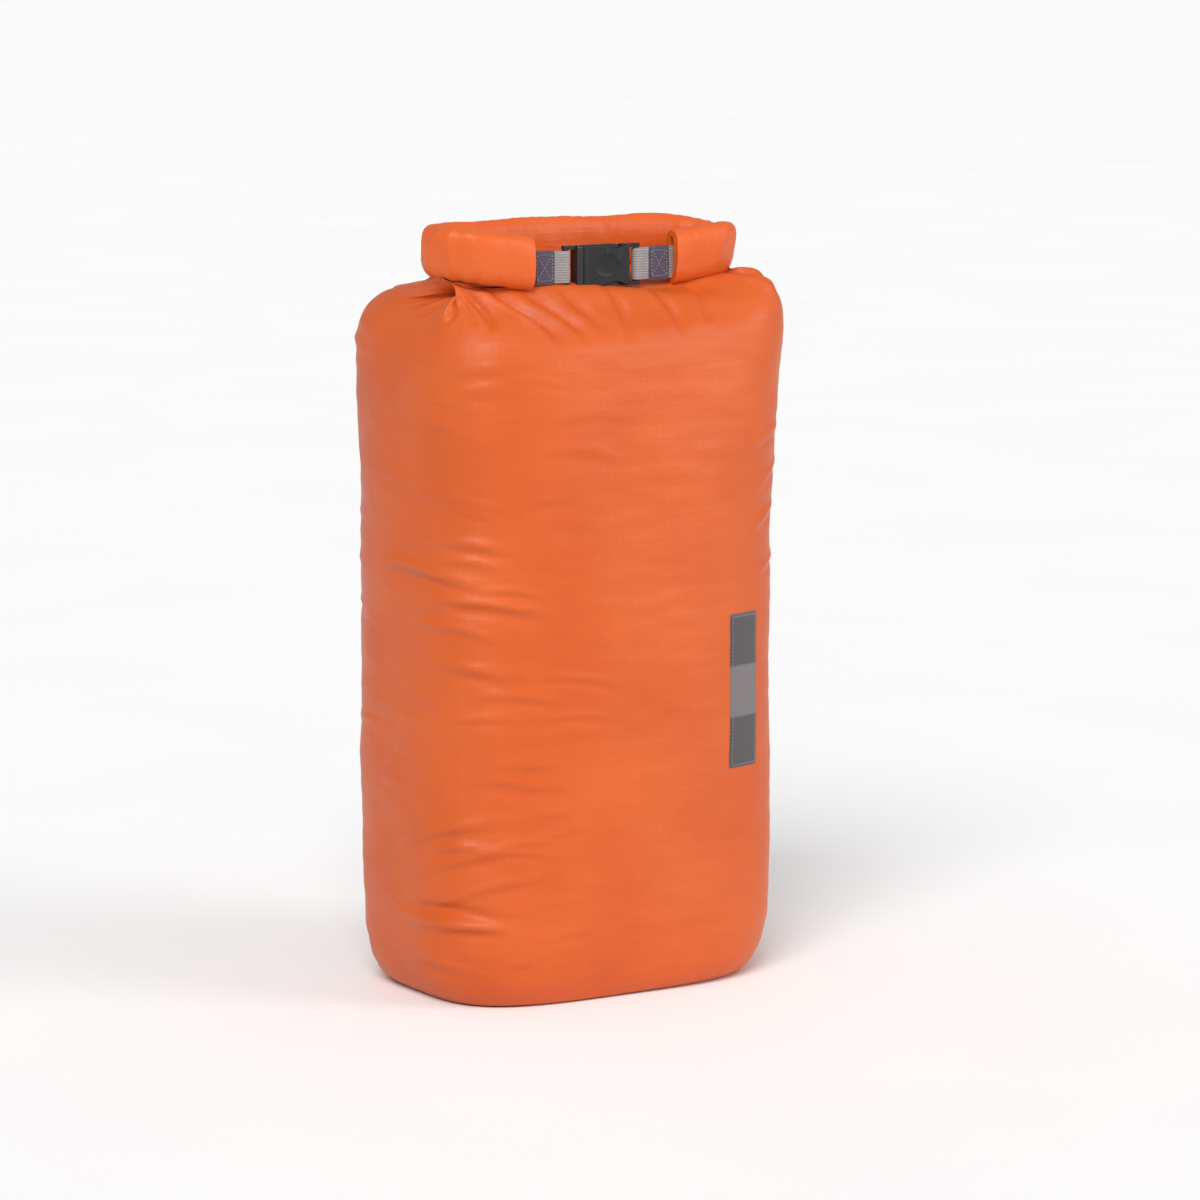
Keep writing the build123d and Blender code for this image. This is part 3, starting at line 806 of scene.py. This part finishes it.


def bag_half(name, grid, normals, heights, first, material, body):
    """Half of the tube, from the front's middle to the back seam."""
    rows, columns, _ = grid.shape
    span = columns // 2 + 1
    chosen = (np.arange(span) + first) % columns
    uvs = np.zeros((rows, span, 2))
    uvs[:, :, 0] = (np.arange(span) + first) * FLAT_ROUND / columns
    uvs[:, :, 1] = heights[:, None]
    half = make_object(name, grid[:, chosen].reshape(-1, 3), grid_faces(rows, span), material,
                       uvs.reshape(-1, 2), normals[:, chosen].reshape(-1, 3))
    side = 1 if body == "right_end" else -1
    lean = np.array([BLEND_LEAN[0] * side, BLEND_LEAN[1], BLEND_LEAN[2]])
    lean /= np.linalg.norm(lean)
    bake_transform(half)
    return half


# --- pieces that lie on the bag's fabric --------------------------------------

FAR_AWAY = 300.0            # from where a ray looks for the fabric


def surface_finder(grid):
    """A function that gives the fabric's point and outward normal in front of or behind (x, z)."""
    rows, columns, _ = grid.shape
    tree = BVHTree.FromPolygons([Vector(p) for p in grid.reshape(-1, 3)],
                                grid_faces(rows, columns, closed=True))

    def find(x, z, front=True):
        away = -1 if front else 1
        point, normal, _, _ = tree.ray_cast(Vector((x, away * FAR_AWAY, z)), Vector((0, -away, 0)))
        return np.array(point), np.array(normal)

    return find


def box_grid(low, high, counts):
    """Even steps across and up a box seen from the front."""
    return np.linspace(low[0], high[0], counts[0]), np.linspace(low[2], high[2], counts[1])


def crown(across, up, edge):
    """1 over most of a patch and falling to its edge; both shares run from -1 to 1."""
    border = np.maximum(abs(across), abs(up))
    return 1 - (1 - edge) * smoothstep((border - 1 + 2 * edge) / (2 * edge))


LABEL_GRID = (40, 130)
LABEL_THICK, LABEL_CLEAR, LABEL_SUNK = 0.75, 0.15, 0.1
STITCH_INSETS = (0.84, 0.96)        # of the label's sewing, as shares of its half width and height
STITCH_SINK, STITCH_HALF_WIDTH = 0.3, 0.6
LABEL_HALF_WIDTH, LABEL_HALF_HEIGHT = 12.75, 49.5


def side_label(find, material):
    """Woven label sewn to the front, near the right edge."""
    low, high = node_box("side_label")
    xs, zs = box_grid(low, high, LABEL_GRID)
    outer, inner, uvs = (np.zeros((len(zs), len(xs), size)) for size in (3, 3, 2))
    for row, z in enumerate(zs):
        for column, x in enumerate(xs):
            point, normal = find(x, z)
            share_x = 2 * (x - low[0]) / (high[0] - low[0]) - 1
            share_z = 2 * (z - low[2]) / (high[2] - low[2]) - 1
            lift = LABEL_THICK * min(crown(share_x, 0, 0.1), crown(0, share_z, 0.03))
            stitched = min(abs(abs(share_x) - STITCH_INSETS[0]) * LABEL_HALF_WIDTH,
                           abs(abs(share_z) - STITCH_INSETS[1]) * LABEL_HALF_HEIGHT)
            lift -= STITCH_SINK * math.exp(-(stitched / STITCH_HALF_WIDTH) ** 2)
            outer[row, column] = point + normal * (LABEL_CLEAR + lift)
            inner[row, column] = point - normal * LABEL_SUNK
            uvs[row, column] = (x, z)
    label = slab("side_label_cloth", outer, inner, material, uvs)
    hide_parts("side_label")
    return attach(label, "bag")


THREAD_SIDES = 6
THREAD_RINGS = [            # share along a stitch, its lift and its girth, in thread radii
    (0, -0.8, 0.5),
    (0.12, 0.1, 0.95),
    (0.5, 0.7, 1.0),
    (0.88, 0.1, 0.95),
    (1, -0.8, 0.5),
]


def stitches(name, spans, radius, material):
    """Short threads, each bowed up from a start to an end: spans are (start, end, normal)."""
    points, faces = [], []
    sides = THREAD_SIDES
    last = (len(THREAD_RINGS) - 1) * sides
    for start, end, normal in spans:
        along = end - start
        across = np.cross(along, normal)
        across /= np.linalg.norm(across)
        first = len(points)
        for share, lift, girth in THREAD_RINGS:
            middle = start + along * share + normal * lift * radius
            for side in range(sides):
                angle = 2 * math.pi * side / sides
                points.append(middle + radius * girth * (math.cos(angle) * normal
                                                         + math.sin(angle) * across))
        faces += grid_faces(len(THREAD_RINGS), sides, closed=True, first=first)
        faces.append(tuple(range(first + sides - 1, first - 1, -1)))
        faces.append(tuple(range(first + last, first + last + sides)))
    return make_object(name, points, faces, material)


def stitch_line(place, start, end, pitch=2.8, gap=0.7):
    """Spans of a sewn line; place gives the point and normal for a 2-D position."""
    start, end = np.array(start, float), np.array(end, float)
    count = max(1, round(np.linalg.norm(end - start) / pitch))
    spans = []
    for step in range(count):
        from_share = (step + gap / pitch / 2) / count
        to_share = (step + 1 - gap / pitch / 2) / count
        first, normal = place(*(start + (end - start) * from_share))
        last, _ = place(*(start + (end - start) * to_share))
        spans.append((first, last, normal))
    return spans


LABEL_PITCH, SEAM_PITCH, BOX_PITCH = 2.4, 3.0, 2.2
LABEL_THREAD, SEAM_THREAD, BOX_THREAD = 0.28, 0.24, 0.27        # radii
LABEL_THREAD_LIFT, SEAM_THREAD_LIFT, BOX_THREAD_SINK = 0.65, 0.1, 0.15
SEAM_ROW_OFFSETS = (-2.6, 2.6)
SEAM_LOW, SEAM_HIGH = 8.0, 416.0


def box_corners(low, high):
    """Corners of a box seen from the front, in order round it, as (x, z)."""
    return [(low[0], low[2]), (high[0], low[2]), (high[0], high[2]), (low[0], high[2])]


def label_threads(find, material):
    """Stitching round the label."""

    def place(x, z):
        point, normal = find(x, z)
        return point + normal * LABEL_THREAD_LIFT, normal

    corners = box_corners(*node_box("label_stitching"))
    spans = []
    for start, end in zip(corners, corners[1:] + corners[:1]):
        spans += stitch_line(place, start, end, LABEL_PITCH)
    threads = stitches("label_threads", spans, LABEL_THREAD, material)
    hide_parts("label_stitching")
    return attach(threads, "bag")


def seam_threads(find, material):
    """Two rows of stitching down the folded seam at the middle of the back."""

    def place(x, z):
        point, normal = find(x, z, front=False)
        return point + normal * SEAM_THREAD_LIFT, normal

    spans = []
    for offset in SEAM_ROW_OFFSETS:
        spans += stitch_line(place, (offset, SEAM_LOW), (offset, SEAM_HIGH), SEAM_PITCH)
    threads = stitches("back_seam_threads", spans, SEAM_THREAD, material)
    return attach(threads, "bag")


# --- seam tapes and base --------------------------------------------------------

TAPE_WIDTH = 20.0
TAPE_THICK = 0.3
TAPE_CLEAR = 0.15           # gap between the fabric and the back tape
BASE_TAPE_Z, BASE_TAPE_OUTER, BASE_TAPE_RINGS = 1.9, 0.985, 5
BASE_HALF_DEPTH = 76.0
BASE_SHARES = (1.0, 0.985, 0.965, 0.94, 0.9, 0.84, 0.76, 0.66, 0.54, 0.4, 0.25, 0.1)
BASE_Z = 0.35
PUCKER_HEIGHT, PUCKER_POINTS = 0.3, 5


def back_tape(grid, normals, heights, material):
    """Tape welded over the back seam, following the inside of the fabric."""
    low, high = node_box("back_seam_tape")
    columns = grid.shape[1]
    step = FLAT_ROUND / columns
    reach = round(TAPE_WIDTH / 2 / step)
    middle = columns * 3 // 4
    chosen = (middle + np.arange(-reach, reach + 1)) % columns
    rows = np.where((grid[:, middle, 2] > low[2]) & (grid[:, middle, 2] < high[2]))[0]
    points = grid[np.ix_(rows, chosen)]
    inward = normals[np.ix_(rows, chosen)]
    uvs = np.zeros((len(rows), len(chosen), 2))
    uvs[:, :, 0] = np.arange(len(chosen)) * step
    uvs[:, :, 1] = heights[rows][:, None]
    tape = slab("back_tape_weld", points - inward * TAPE_CLEAR,
                points - inward * (TAPE_CLEAR + TAPE_THICK), material, uvs)
    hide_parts("back_seam_tape")
    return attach(tape, "bag")


def base_rings(edge_ring):
    """Base fabric: rings from the seam to the centre, puckered near the seam."""
    chance = random.Random(5)
    pucker = np.convolve([chance.uniform(-1, 1) for _ in edge_ring],
                         np.ones(PUCKER_POINTS) / PUCKER_POINTS, "same")
    rings = []
    for share in BASE_SHARES:
        ring = edge_ring * np.array([share, share, 0])
        from_seam = 1 - share
        ring[:, 2] = (edge_ring[:, 2] - BASE_Z) * math.exp(-(from_seam / 0.02) ** 2) + BASE_Z
        ring[:, 2] += PUCKER_HEIGHT * (1 + pucker) * math.exp(-((from_seam - 0.06) / 0.05) ** 2)
        rings.append(ring)
    return np.array(rings)


def base_fabric(edge_ring, material):
    """Fabric of the base, inside the ring of points at the wall's lower edge."""
    rings = base_rings(edge_ring)
    rows, columns, _ = rings.shape
    centre = rows * columns
    points = np.concatenate([rings.reshape(-1, 3), [[0, 0, BASE_Z]]])
    faces = grid_faces(rows, columns, closed=True)
    last = (rows - 1) * columns
    faces += [(centre, last + column, last + (column + 1) % columns) for column in range(columns)]
    base = make_object("base_cloth", points, faces, material, points[:, :2])
    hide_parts("base_panel")
    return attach(base, "bag")


def base_tape(edge_ring, material):
    """Tape welded over the base seam, on the inside."""
    rings = []
    inner_share = BASE_TAPE_OUTER - TAPE_WIDTH / 2 / BASE_HALF_DEPTH
    for share in np.linspace(BASE_TAPE_OUTER, inner_share, BASE_TAPE_RINGS):
        ring = edge_ring * np.array([share, share, 0])
        ring[:, 2] = BASE_TAPE_Z
        rings.append(ring)
    rings = np.array(rings)
    closed = np.concatenate([rings, rings[:, :1]], 1)
    upper = closed + np.array([0, 0, TAPE_THICK])
    uvs = closed[:, :, :2]
    tape = slab("base_tape_weld", upper, closed, material, uvs)
    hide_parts("base_seam_tape")
    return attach(tape, "bag")


# --- rolled collar -----------------------------------------------------------

ROLL_TURNS = 2.75
ROLL_POINTS = 30            # for each turn of the section
CLOTH_THICK = 1.2           # of the two layers, rolled together
THICK_STEP, HEIGHT_STEP = 1.85, 1.3     # how much each turn lies inside the last
ROLL_SQUARENESS = 2.6
ROLL_STATIONS = 150
ROLL_LEAN = 0.2             # how far the folded ends lean out at the top
LEAN_PLACE, LEAN_REACH = 0.8, 34.0      # where on the bend the lean is strongest, and its spread
END_DROOP, LEFT_DROOP = 5.0, 0.5        # of the fold at each end
SAG_POWER = 1.2
BEND_REACH = 22.0           # spread of the creases round a bend's middle
CREASE_SIZE, SWELL_SIZE = (9, 26, 26), (34, 30, 30)
CREASE_HEIGHT, BEND_CREASE_HEIGHT, SWELL_HEIGHT = 0.7, 2.4, 1.4
SIDE_SIZE, UP_SIZE = 14.0, 17.0         # radii that place the noise round the section
BEND_WIDER, BEND_LOWER = 0.06, 0.1
WANDER_HEIGHT, WANDER_LENGTH = 1.2, 45.0
ROLL_CLOTH_STEP = 2.6       # of cloth between the points of the section


def roll_section():
    """Spiral of cloth in the roll's section: centre line, its normals and its turn angle."""
    angle = np.linspace(-math.pi / 2, -math.pi / 2 + 2 * math.pi * ROLL_TURNS,
                        round(ROLL_TURNS * ROLL_POINTS) + 1)
    turns = (angle + math.pi / 2) / (2 * math.pi)
    half_thick = ROLL_HALF_THICK - CLOTH_THICK / 2 - THICK_STEP * turns
    half_height = ROLL_HALF_HEIGHT - CLOTH_THICK / 2 - HEIGHT_STEP * turns
    across = half_thick * np.sign(np.cos(angle)) * abs(np.cos(angle)) ** (2 / ROLL_SQUARENESS)
    up = half_height * np.sign(np.sin(angle)) * abs(np.sin(angle)) ** (2 / ROLL_SQUARENESS)
    line = np.stack([across, up], 1)
    along = np.gradient(line, axis=0)
    normal = np.stack([along[:, 1], -along[:, 0]], 1)
    return line, normal / np.linalg.norm(normal, axis=1, keepdims=True), angle


def roll_height_at(distance):
    """Height of the roll's middle: level at the back and sagging to its free ends."""
    pivot = BACK_HALF + BEND_LENGTH / 2
    share = max(0.0, distance - pivot) / (COLLAR_HALF - pivot)
    return ROLL_Z - (ROLL_Z - END_Z) * share ** SAG_POWER


def roll_grid(side):
    """Closed outline of the rolled cloth at each station from the back's middle to the end."""
    line, normal, angle = roll_section()
    distances = np.linspace(0, COLLAR_HALF, ROLL_STATIONS)
    half = CLOTH_THICK / 2
    rows = []
    for distance in distances:
        x, y = collar_place(distance, side)
        ahead = np.array(collar_place(distance, side, 1.0)) - (x, y)
        bend = math.exp(-((distance - BACK_HALF - BEND_LENGTH / 2) / BEND_REACH) ** 2)
        place = np.column_stack([np.full(len(angle), side * distance), SIDE_SIZE * np.cos(angle),
                                 UP_SIZE * np.sin(angle)])
        pucker = 0.5 - abs(noise_of(place, CREASE_SIZE, 4.0))
        ripple = pucker * (CREASE_HEIGHT + BEND_CREASE_HEIGHT * bend)
        swell = noise_of(place, SWELL_SIZE, 7.0) * SWELL_HEIGHT
        flatten = np.array([1 + BEND_WIDER * bend, 1 - BEND_LOWER * bend])
        shape = line * flatten + normal * (ripple + swell)[:, None]
        past = (distance - BACK_HALF - LEAN_PLACE * BEND_LENGTH) / LEAN_REACH
        shape[:, 0] += ROLL_LEAN * math.exp(-past ** 2) * shape[:, 1]
        outer, inner = shape + normal * half, (shape - normal * half)[::-1]
        ring = np.concatenate([outer, inner])
        dip = (END_DROOP if side > 0 else LEFT_DROOP) * bend
        dip += WANDER_HEIGHT * noise.noise(Vector((side * distance / WANDER_LENGTH, 4.0, 0)))
        height = roll_height_at(distance) - dip
        rows.append(np.column_stack([x + ring[:, 0] * ahead[0], y + ring[:, 0] * ahead[1],
                                     height + ring[:, 1]]))
    return np.array(rows), distances


def collar_roll(name, side, material, nodes):
    """Half of the roll, from the middle of the back to a free end."""
    grid, distances = roll_grid(side)
    rows, columns, _ = grid.shape
    faces = grid_faces(rows, columns, closed=True, flip=side > 0)
    cap = tuple(range((rows - 1) * columns, rows * columns))
    faces.append(cap if side < 0 else cap[::-1])
    uvs = np.zeros((rows, columns, 2))
    uvs[:, :, 0] = side * distances[:, None]
    round_section = np.arange(columns // 2)
    uvs[:, :, 1] = np.concatenate([round_section, round_section[::-1]]) * ROLL_CLOTH_STEP
    roll = make_object(name, grid.reshape(-1, 3), faces, material, uvs.reshape(-1, 2))
    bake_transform(roll)
    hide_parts(*nodes)
    return roll


# --- webbing tabs and patches ---------------------------------------------------

WEBBING_THICK = 1.3
PLY_OFFSET = 0.72           # of each ply from the middle of the doubled tab
BAR_TURN = 2.5              # radius of the webbing's middle round the buckle bar
BAR_OUT, TAB_JOIN, TAB_END = 26.0, 35.0, 63.5
WEBBING_POINTS, WEBBING_ROWS = 90, 76
WEBBING_STEP = 0.95         # of webbing between its points
RIB_PERIOD, RIB_HEIGHT = 1.6, 0.09
SELVEDGE_THIN, SELVEDGE_POWER = 0.75, 14


def webbing_line():
    """Middle of the webbing, seen from above: distance out from the buckle's centre, and depth."""
    tail = [(out, -PLY_OFFSET) for out in np.linspace(TAB_END, TAB_JOIN, 10)]
    spread = []
    for out in np.linspace(TAB_JOIN, BAR_OUT, 10)[1:-1]:
        share = smoothstep((TAB_JOIN - out) / (TAB_JOIN - BAR_OUT))
        spread.append((out, -PLY_OFFSET - (BAR_TURN - PLY_OFFSET) * float(share)))
    near = tail + spread
    turn = [(BAR_OUT - BAR_TURN * math.cos(angle), BAR_TURN * math.sin(angle))
            for angle in np.linspace(-math.pi / 2, math.pi / 2, 13)]
    far = [(out, -depth) for out, depth in near[::-1]]
    return evenly(near + turn + far, WEBBING_POINTS)


def webbing(side_name, side, material):
    """Ribbed webbing, doubled round its buckle bar."""
    low, high = node_box(f"webbing_{side_name}")
    middle_z, half_width = (low[2] + high[2]) / 2, (high[2] - low[2]) / 2
    line = webbing_line()
    along = np.gradient(line, axis=0)
    outward = np.stack([along[:, 1], -along[:, 0]], 1)
    outward /= np.linalg.norm(outward, axis=1, keepdims=True)
    widths = np.linspace(-1, 1, WEBBING_ROWS)
    ribs = RIB_HEIGHT * np.cos(2 * math.pi * widths * half_width / RIB_PERIOD)
    thinned = 1 - abs(widths) ** SELVEDGE_POWER * SELVEDGE_THIN
    half_thick = (WEBBING_THICK / 2 + ribs - RIB_HEIGHT) * thinned
    surfaces = []
    for sign in (1, -1):
        depth = line[:, None, :] + sign * outward[:, None, :] * half_thick[None, :, None]
        grid = np.zeros((len(line), len(widths), 3))
        grid[:, :, 0] = CLOSURE_X + side * depth[:, :, 0]
        grid[:, :, 1] = FRONT_Y + depth[:, :, 1]
        grid[:, :, 2] = middle_z + widths * half_width
        surfaces.append(grid if side > 0 else grid[:, ::-1])
    uvs = np.zeros((len(line), len(widths), 2))
    uvs[:, :, 0] = np.arange(len(line))[:, None] * WEBBING_STEP
    uvs[:, :, 1] = widths * half_width
    band = slab(f"webbing_band_{side_name}", surfaces[0], surfaces[1], material, uvs)
    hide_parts(f"webbing_{side_name}")
    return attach(band, f"{side_name}_end")


PATCH_GRID = (44, 60)
SEWN_X, SEWN_Z = 0.72, 0.76             # the box of stitching, as shares of the patch
SEWN_SINK, BOX_SEWN_WIDTH, CROSS_SEWN_WIDTH = 0.28, 0.07, 0.1
CORNER_ROUND = 0.04


def patch(side_name, face_name, sign, material):
    """Reinforcement sewn on one face of a tab, puffed between its stitch lines."""
    low, high = node_box(f"patch_{face_name}_{side_name}")
    xs, zs = box_grid(low, high, PATCH_GRID)
    share_x = (2 * (xs - low[0]) / (high[0] - low[0]) - 1)[None, :]
    share_z = (2 * (zs - low[2]) / (high[2] - low[2]) - 1)[:, None]
    thick = high[1] - low[1]
    lift = thick * np.minimum(crown(share_x, 0 * share_z, 0.12), crown(0 * share_x, share_z, 0.09))
    square = np.maximum(abs(share_x) / SEWN_X, abs(share_z) / SEWN_Z)
    cross = np.minimum(abs(share_x / SEWN_X - share_z / SEWN_Z),
                       abs(share_x / SEWN_X + share_z / SEWN_Z))
    on_box = np.exp(-((square - 1) / BOX_SEWN_WIDTH) ** 2)
    on_cross = np.exp(-(cross / CROSS_SEWN_WIDTH) ** 2) * (square < 1)
    lift = lift - SEWN_SINK * np.minimum(on_box + on_cross, 1)
    near = low[1] if sign > 0 else high[1]
    outer, inner = np.zeros((len(zs), len(xs), 3)), np.zeros((len(zs), len(xs), 3))
    corner = 1 - CORNER_ROUND * (abs(share_x) * abs(share_z)) ** 6
    middle_x, middle_z = (low[0] + high[0]) / 2, (low[2] + high[2]) / 2
    for grid, depth in ((outer, near + sign * lift), (inner, near + 0 * lift)):
        grid[:, :, 0] = middle_x + (xs[None, :] - middle_x) * corner
        grid[:, :, 1] = depth
        grid[:, :, 2] = middle_z + (zs[:, None] - middle_z) * corner
    uvs = np.stack(np.broadcast_arrays(xs[None, :], zs[:, None]), 2)
    pair = (outer, inner) if sign < 0 else (outer[:, ::-1], inner[:, ::-1])
    piece = slab(f"patch_cloth_{face_name}_{side_name}", *pair, material, uvs)
    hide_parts(f"patch_{face_name}_{side_name}")
    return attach(piece, f"{side_name}_end")


def patch_face(box, sign):
    """A function that gives the point and normal on a patch's outer face at (x, z)."""
    low, high = box
    depth = low[1] + BOX_THREAD_SINK if sign < 0 else high[1] - BOX_THREAD_SINK

    def place(x, z):
        return np.array([x, depth, z]), np.array([0.0, sign, 0.0])

    return place


def box_threads(side_name, material):
    """Box and cross of stitching through both patches of a tab."""
    corners = box_corners(*node_box(f"box_stitch_{side_name}"))
    lines = list(zip(corners, corners[1:] + corners[:1]))
    lines += [(corners[0], corners[2]), (corners[1], corners[3])]
    spans = []
    for face_name, sign in (("front", -1), ("back", 1)):
        place = patch_face(node_box(f"patch_{face_name}_{side_name}"), sign)
        for start, end in lines:
            spans += stitch_line(place, start, end, BOX_PITCH)
    threads = stitches(f"box_threads_{side_name}", spans, BOX_THREAD, material)
    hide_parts(f"box_stitch_{side_name}")
    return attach(threads, f"{side_name}_end")


# --- carried-over CAD nodes ------------------------------------------------------

def repaint(node, material):
    """Gives a CAD node a better material."""
    piece = frame["nodes"][node]
    piece.data.materials.clear()
    piece.data.materials.append(material)


# --- studio ----------------------------------------------------------------------

WHITE = (1.0, 1.0, 1.0, 1.0)
FLOOR_HALF = 60000.0        # wide enough to fill the picture behind the bag
AIR_STRENGTH = 0.45
SOFT_LAMPS = [              # name, direction it shines from, strength and spread in degrees
    ("key", (-0.5, -0.55, 0.67), 2.3, 32.0),
    ("glow", (0.62, -0.72, 0.32), 1.1, 28.0),
]


def studio():
    """White floor and backdrop, even light from the air and soft lamps."""
    side = FLOOR_HALF
    corners = [(-side, -side, 0), (side, -side, 0), (side, side, 0), (-side, side, 0)]
    floor = make_object("studio_floor", corners, [(0, 1, 2, 3)], floor_material(), smooth=False)
    world = bpy.data.worlds.new("studio_air")
    bpy.context.scene.world = world
    bpy.context.scene.view_settings.view_transform = "Standard"
    world.use_nodes = True
    background = world.node_tree.nodes["Background"]
    background.inputs["Color"].default_value = WHITE
    background.inputs["Strength"].default_value = AIR_STRENGTH
    backdrop = world.node_tree.nodes.new("ShaderNodeBackground")
    seen = world.node_tree.nodes.new("ShaderNodeLightPath")
    either = world.node_tree.nodes.new("ShaderNodeMixShader")
    join = world.node_tree.links.new
    join(seen.outputs["Is Camera Ray"], either.inputs[0])
    join(background.outputs[0], either.inputs[1])
    join(backdrop.outputs[0], either.inputs[2])
    join(either.outputs[0], world.node_tree.nodes["World Output"].inputs["Surface"])
    backdrop.inputs["Color"].default_value = WHITE
    for name, toward, strength, spread in SOFT_LAMPS:
        lamp = bpy.data.lights.new(name, "SUN")
        lamp.energy = strength
        lamp.angle = math.radians(spread)
        holder = bpy.data.objects.new(name, lamp)
        bpy.context.scene.collection.objects.link(holder)
        holder.rotation_euler = Vector(toward).to_track_quat("Z", "Y").to_euler()


VIEW_AZIMUTH, VIEW_ELEVATION = -32.0, 8.4
VIEW_AIM = (0.018, -0.012, 0.243)
VIEW_DISTANCE = 3.0
LENS, SENSOR = 141.0, 36.0


def add_camera():
    """Camera at the photograph's angle."""
    turn, rise = math.radians(VIEW_AZIMUTH), math.radians(VIEW_ELEVATION)
    back = Vector((math.sin(turn) * math.cos(rise), -math.cos(turn) * math.cos(rise),
                   math.sin(rise)))
    lens = bpy.data.cameras.new("camera")
    lens.lens = LENS
    lens.sensor_width = SENSOR
    camera = bpy.data.objects.new("camera", lens)
    bpy.context.scene.collection.objects.link(camera)
    camera.location = Vector(VIEW_AIM) + back * VIEW_DISTANCE
    camera.rotation_euler = (-back).to_track_quat("-Z", "Y").to_euler()
    bpy.context.scene.camera = camera


# --- assembly --------------------------------------------------------------------

nylon = coated_nylon("coated_nylon")
# The roll's nylon is the same cloth painted 1.16 times brighter: painted light on the roll's faces
# that lie in shade.
roll_nylon_painted_light = coated_nylon("roll_nylon_painted_light", 1.16)
tape_plastic = seam_tape_material()
webbing_weave = woven("webbing_weave", (0.21, 0.19, 0.19), (0.42, 0.385, 0.385), 0.0016)
patch_weave = woven("patch_weave", (0.05, 0.036, 0.06), (0.13, 0.095, 0.14), 0.0009)
grey_thread = thread_material("grey_thread", (0.14, 0.13, 0.14), (0.3, 0.28, 0.29))
orange_thread = thread_material("orange_thread", (0.6, 0.12, 0.03), (0.8, 0.2, 0.06))
black_plastic = moulded_plastic("black_plastic", (0.007, 0.006, 0.0065), (0.012, 0.0105, 0.011),
                                0.38, 0.5)
strip_plastic = moulded_plastic("strip_plastic", (0.07, 0.07, 0.075), (0.12, 0.12, 0.13),
                                0.5, 0.65, 0.1)

grid, heights = bag_grid()
normals = grid_normals(grid)
columns = grid.shape[1]
left_half = bag_half("bag_cloth_left", grid, normals, heights, -columns // 4, nylon, "left_end")
right_half = bag_half("bag_cloth_right", grid, normals, heights, columns // 4, nylon, "right_end")
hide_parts("body_wall")
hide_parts("body_wall")
find = surface_finder(grid)
label_low, label_high = node_box("side_label")
label = side_label(find, label_material(label_low[2] * MM, label_high[2] * MM))
label_sewing = label_threads(find, grey_thread)
seam_sewing = seam_threads(find, orange_thread)
seam_weld = back_tape(grid, normals, heights, tape_plastic)
base = base_fabric(grid[0], nylon)
base_weld = base_tape(grid[0], tape_plastic)

left_roll = collar_roll("collar_roll_left", -1, roll_nylon_painted_light,
                        ("collar_back_run", "collar_end_left"))
right_roll = collar_roll("collar_roll_right", 1, roll_nylon_painted_light,
                         ("collar_back_run", "collar_end_right"))
for side_name, side in (("left", -1), ("right", 1)):
    webbing(side_name, side, webbing_weave)
    patch(side_name, "front", -1, patch_weave)
    patch(side_name, "back", 1, patch_weave)
    box_threads(side_name, grey_thread)

for node in ("buckle_socket", "buckle_plug", "plug_arm_upper", "plug_arm_lower"):
    repaint(node, black_plastic)
for node in ("mouth_stiffener_front", "mouth_stiffener_back", "stiffener_end_left",
             "stiffener_end_right"):
    repaint(node, strip_plastic)

studio()
add_camera()
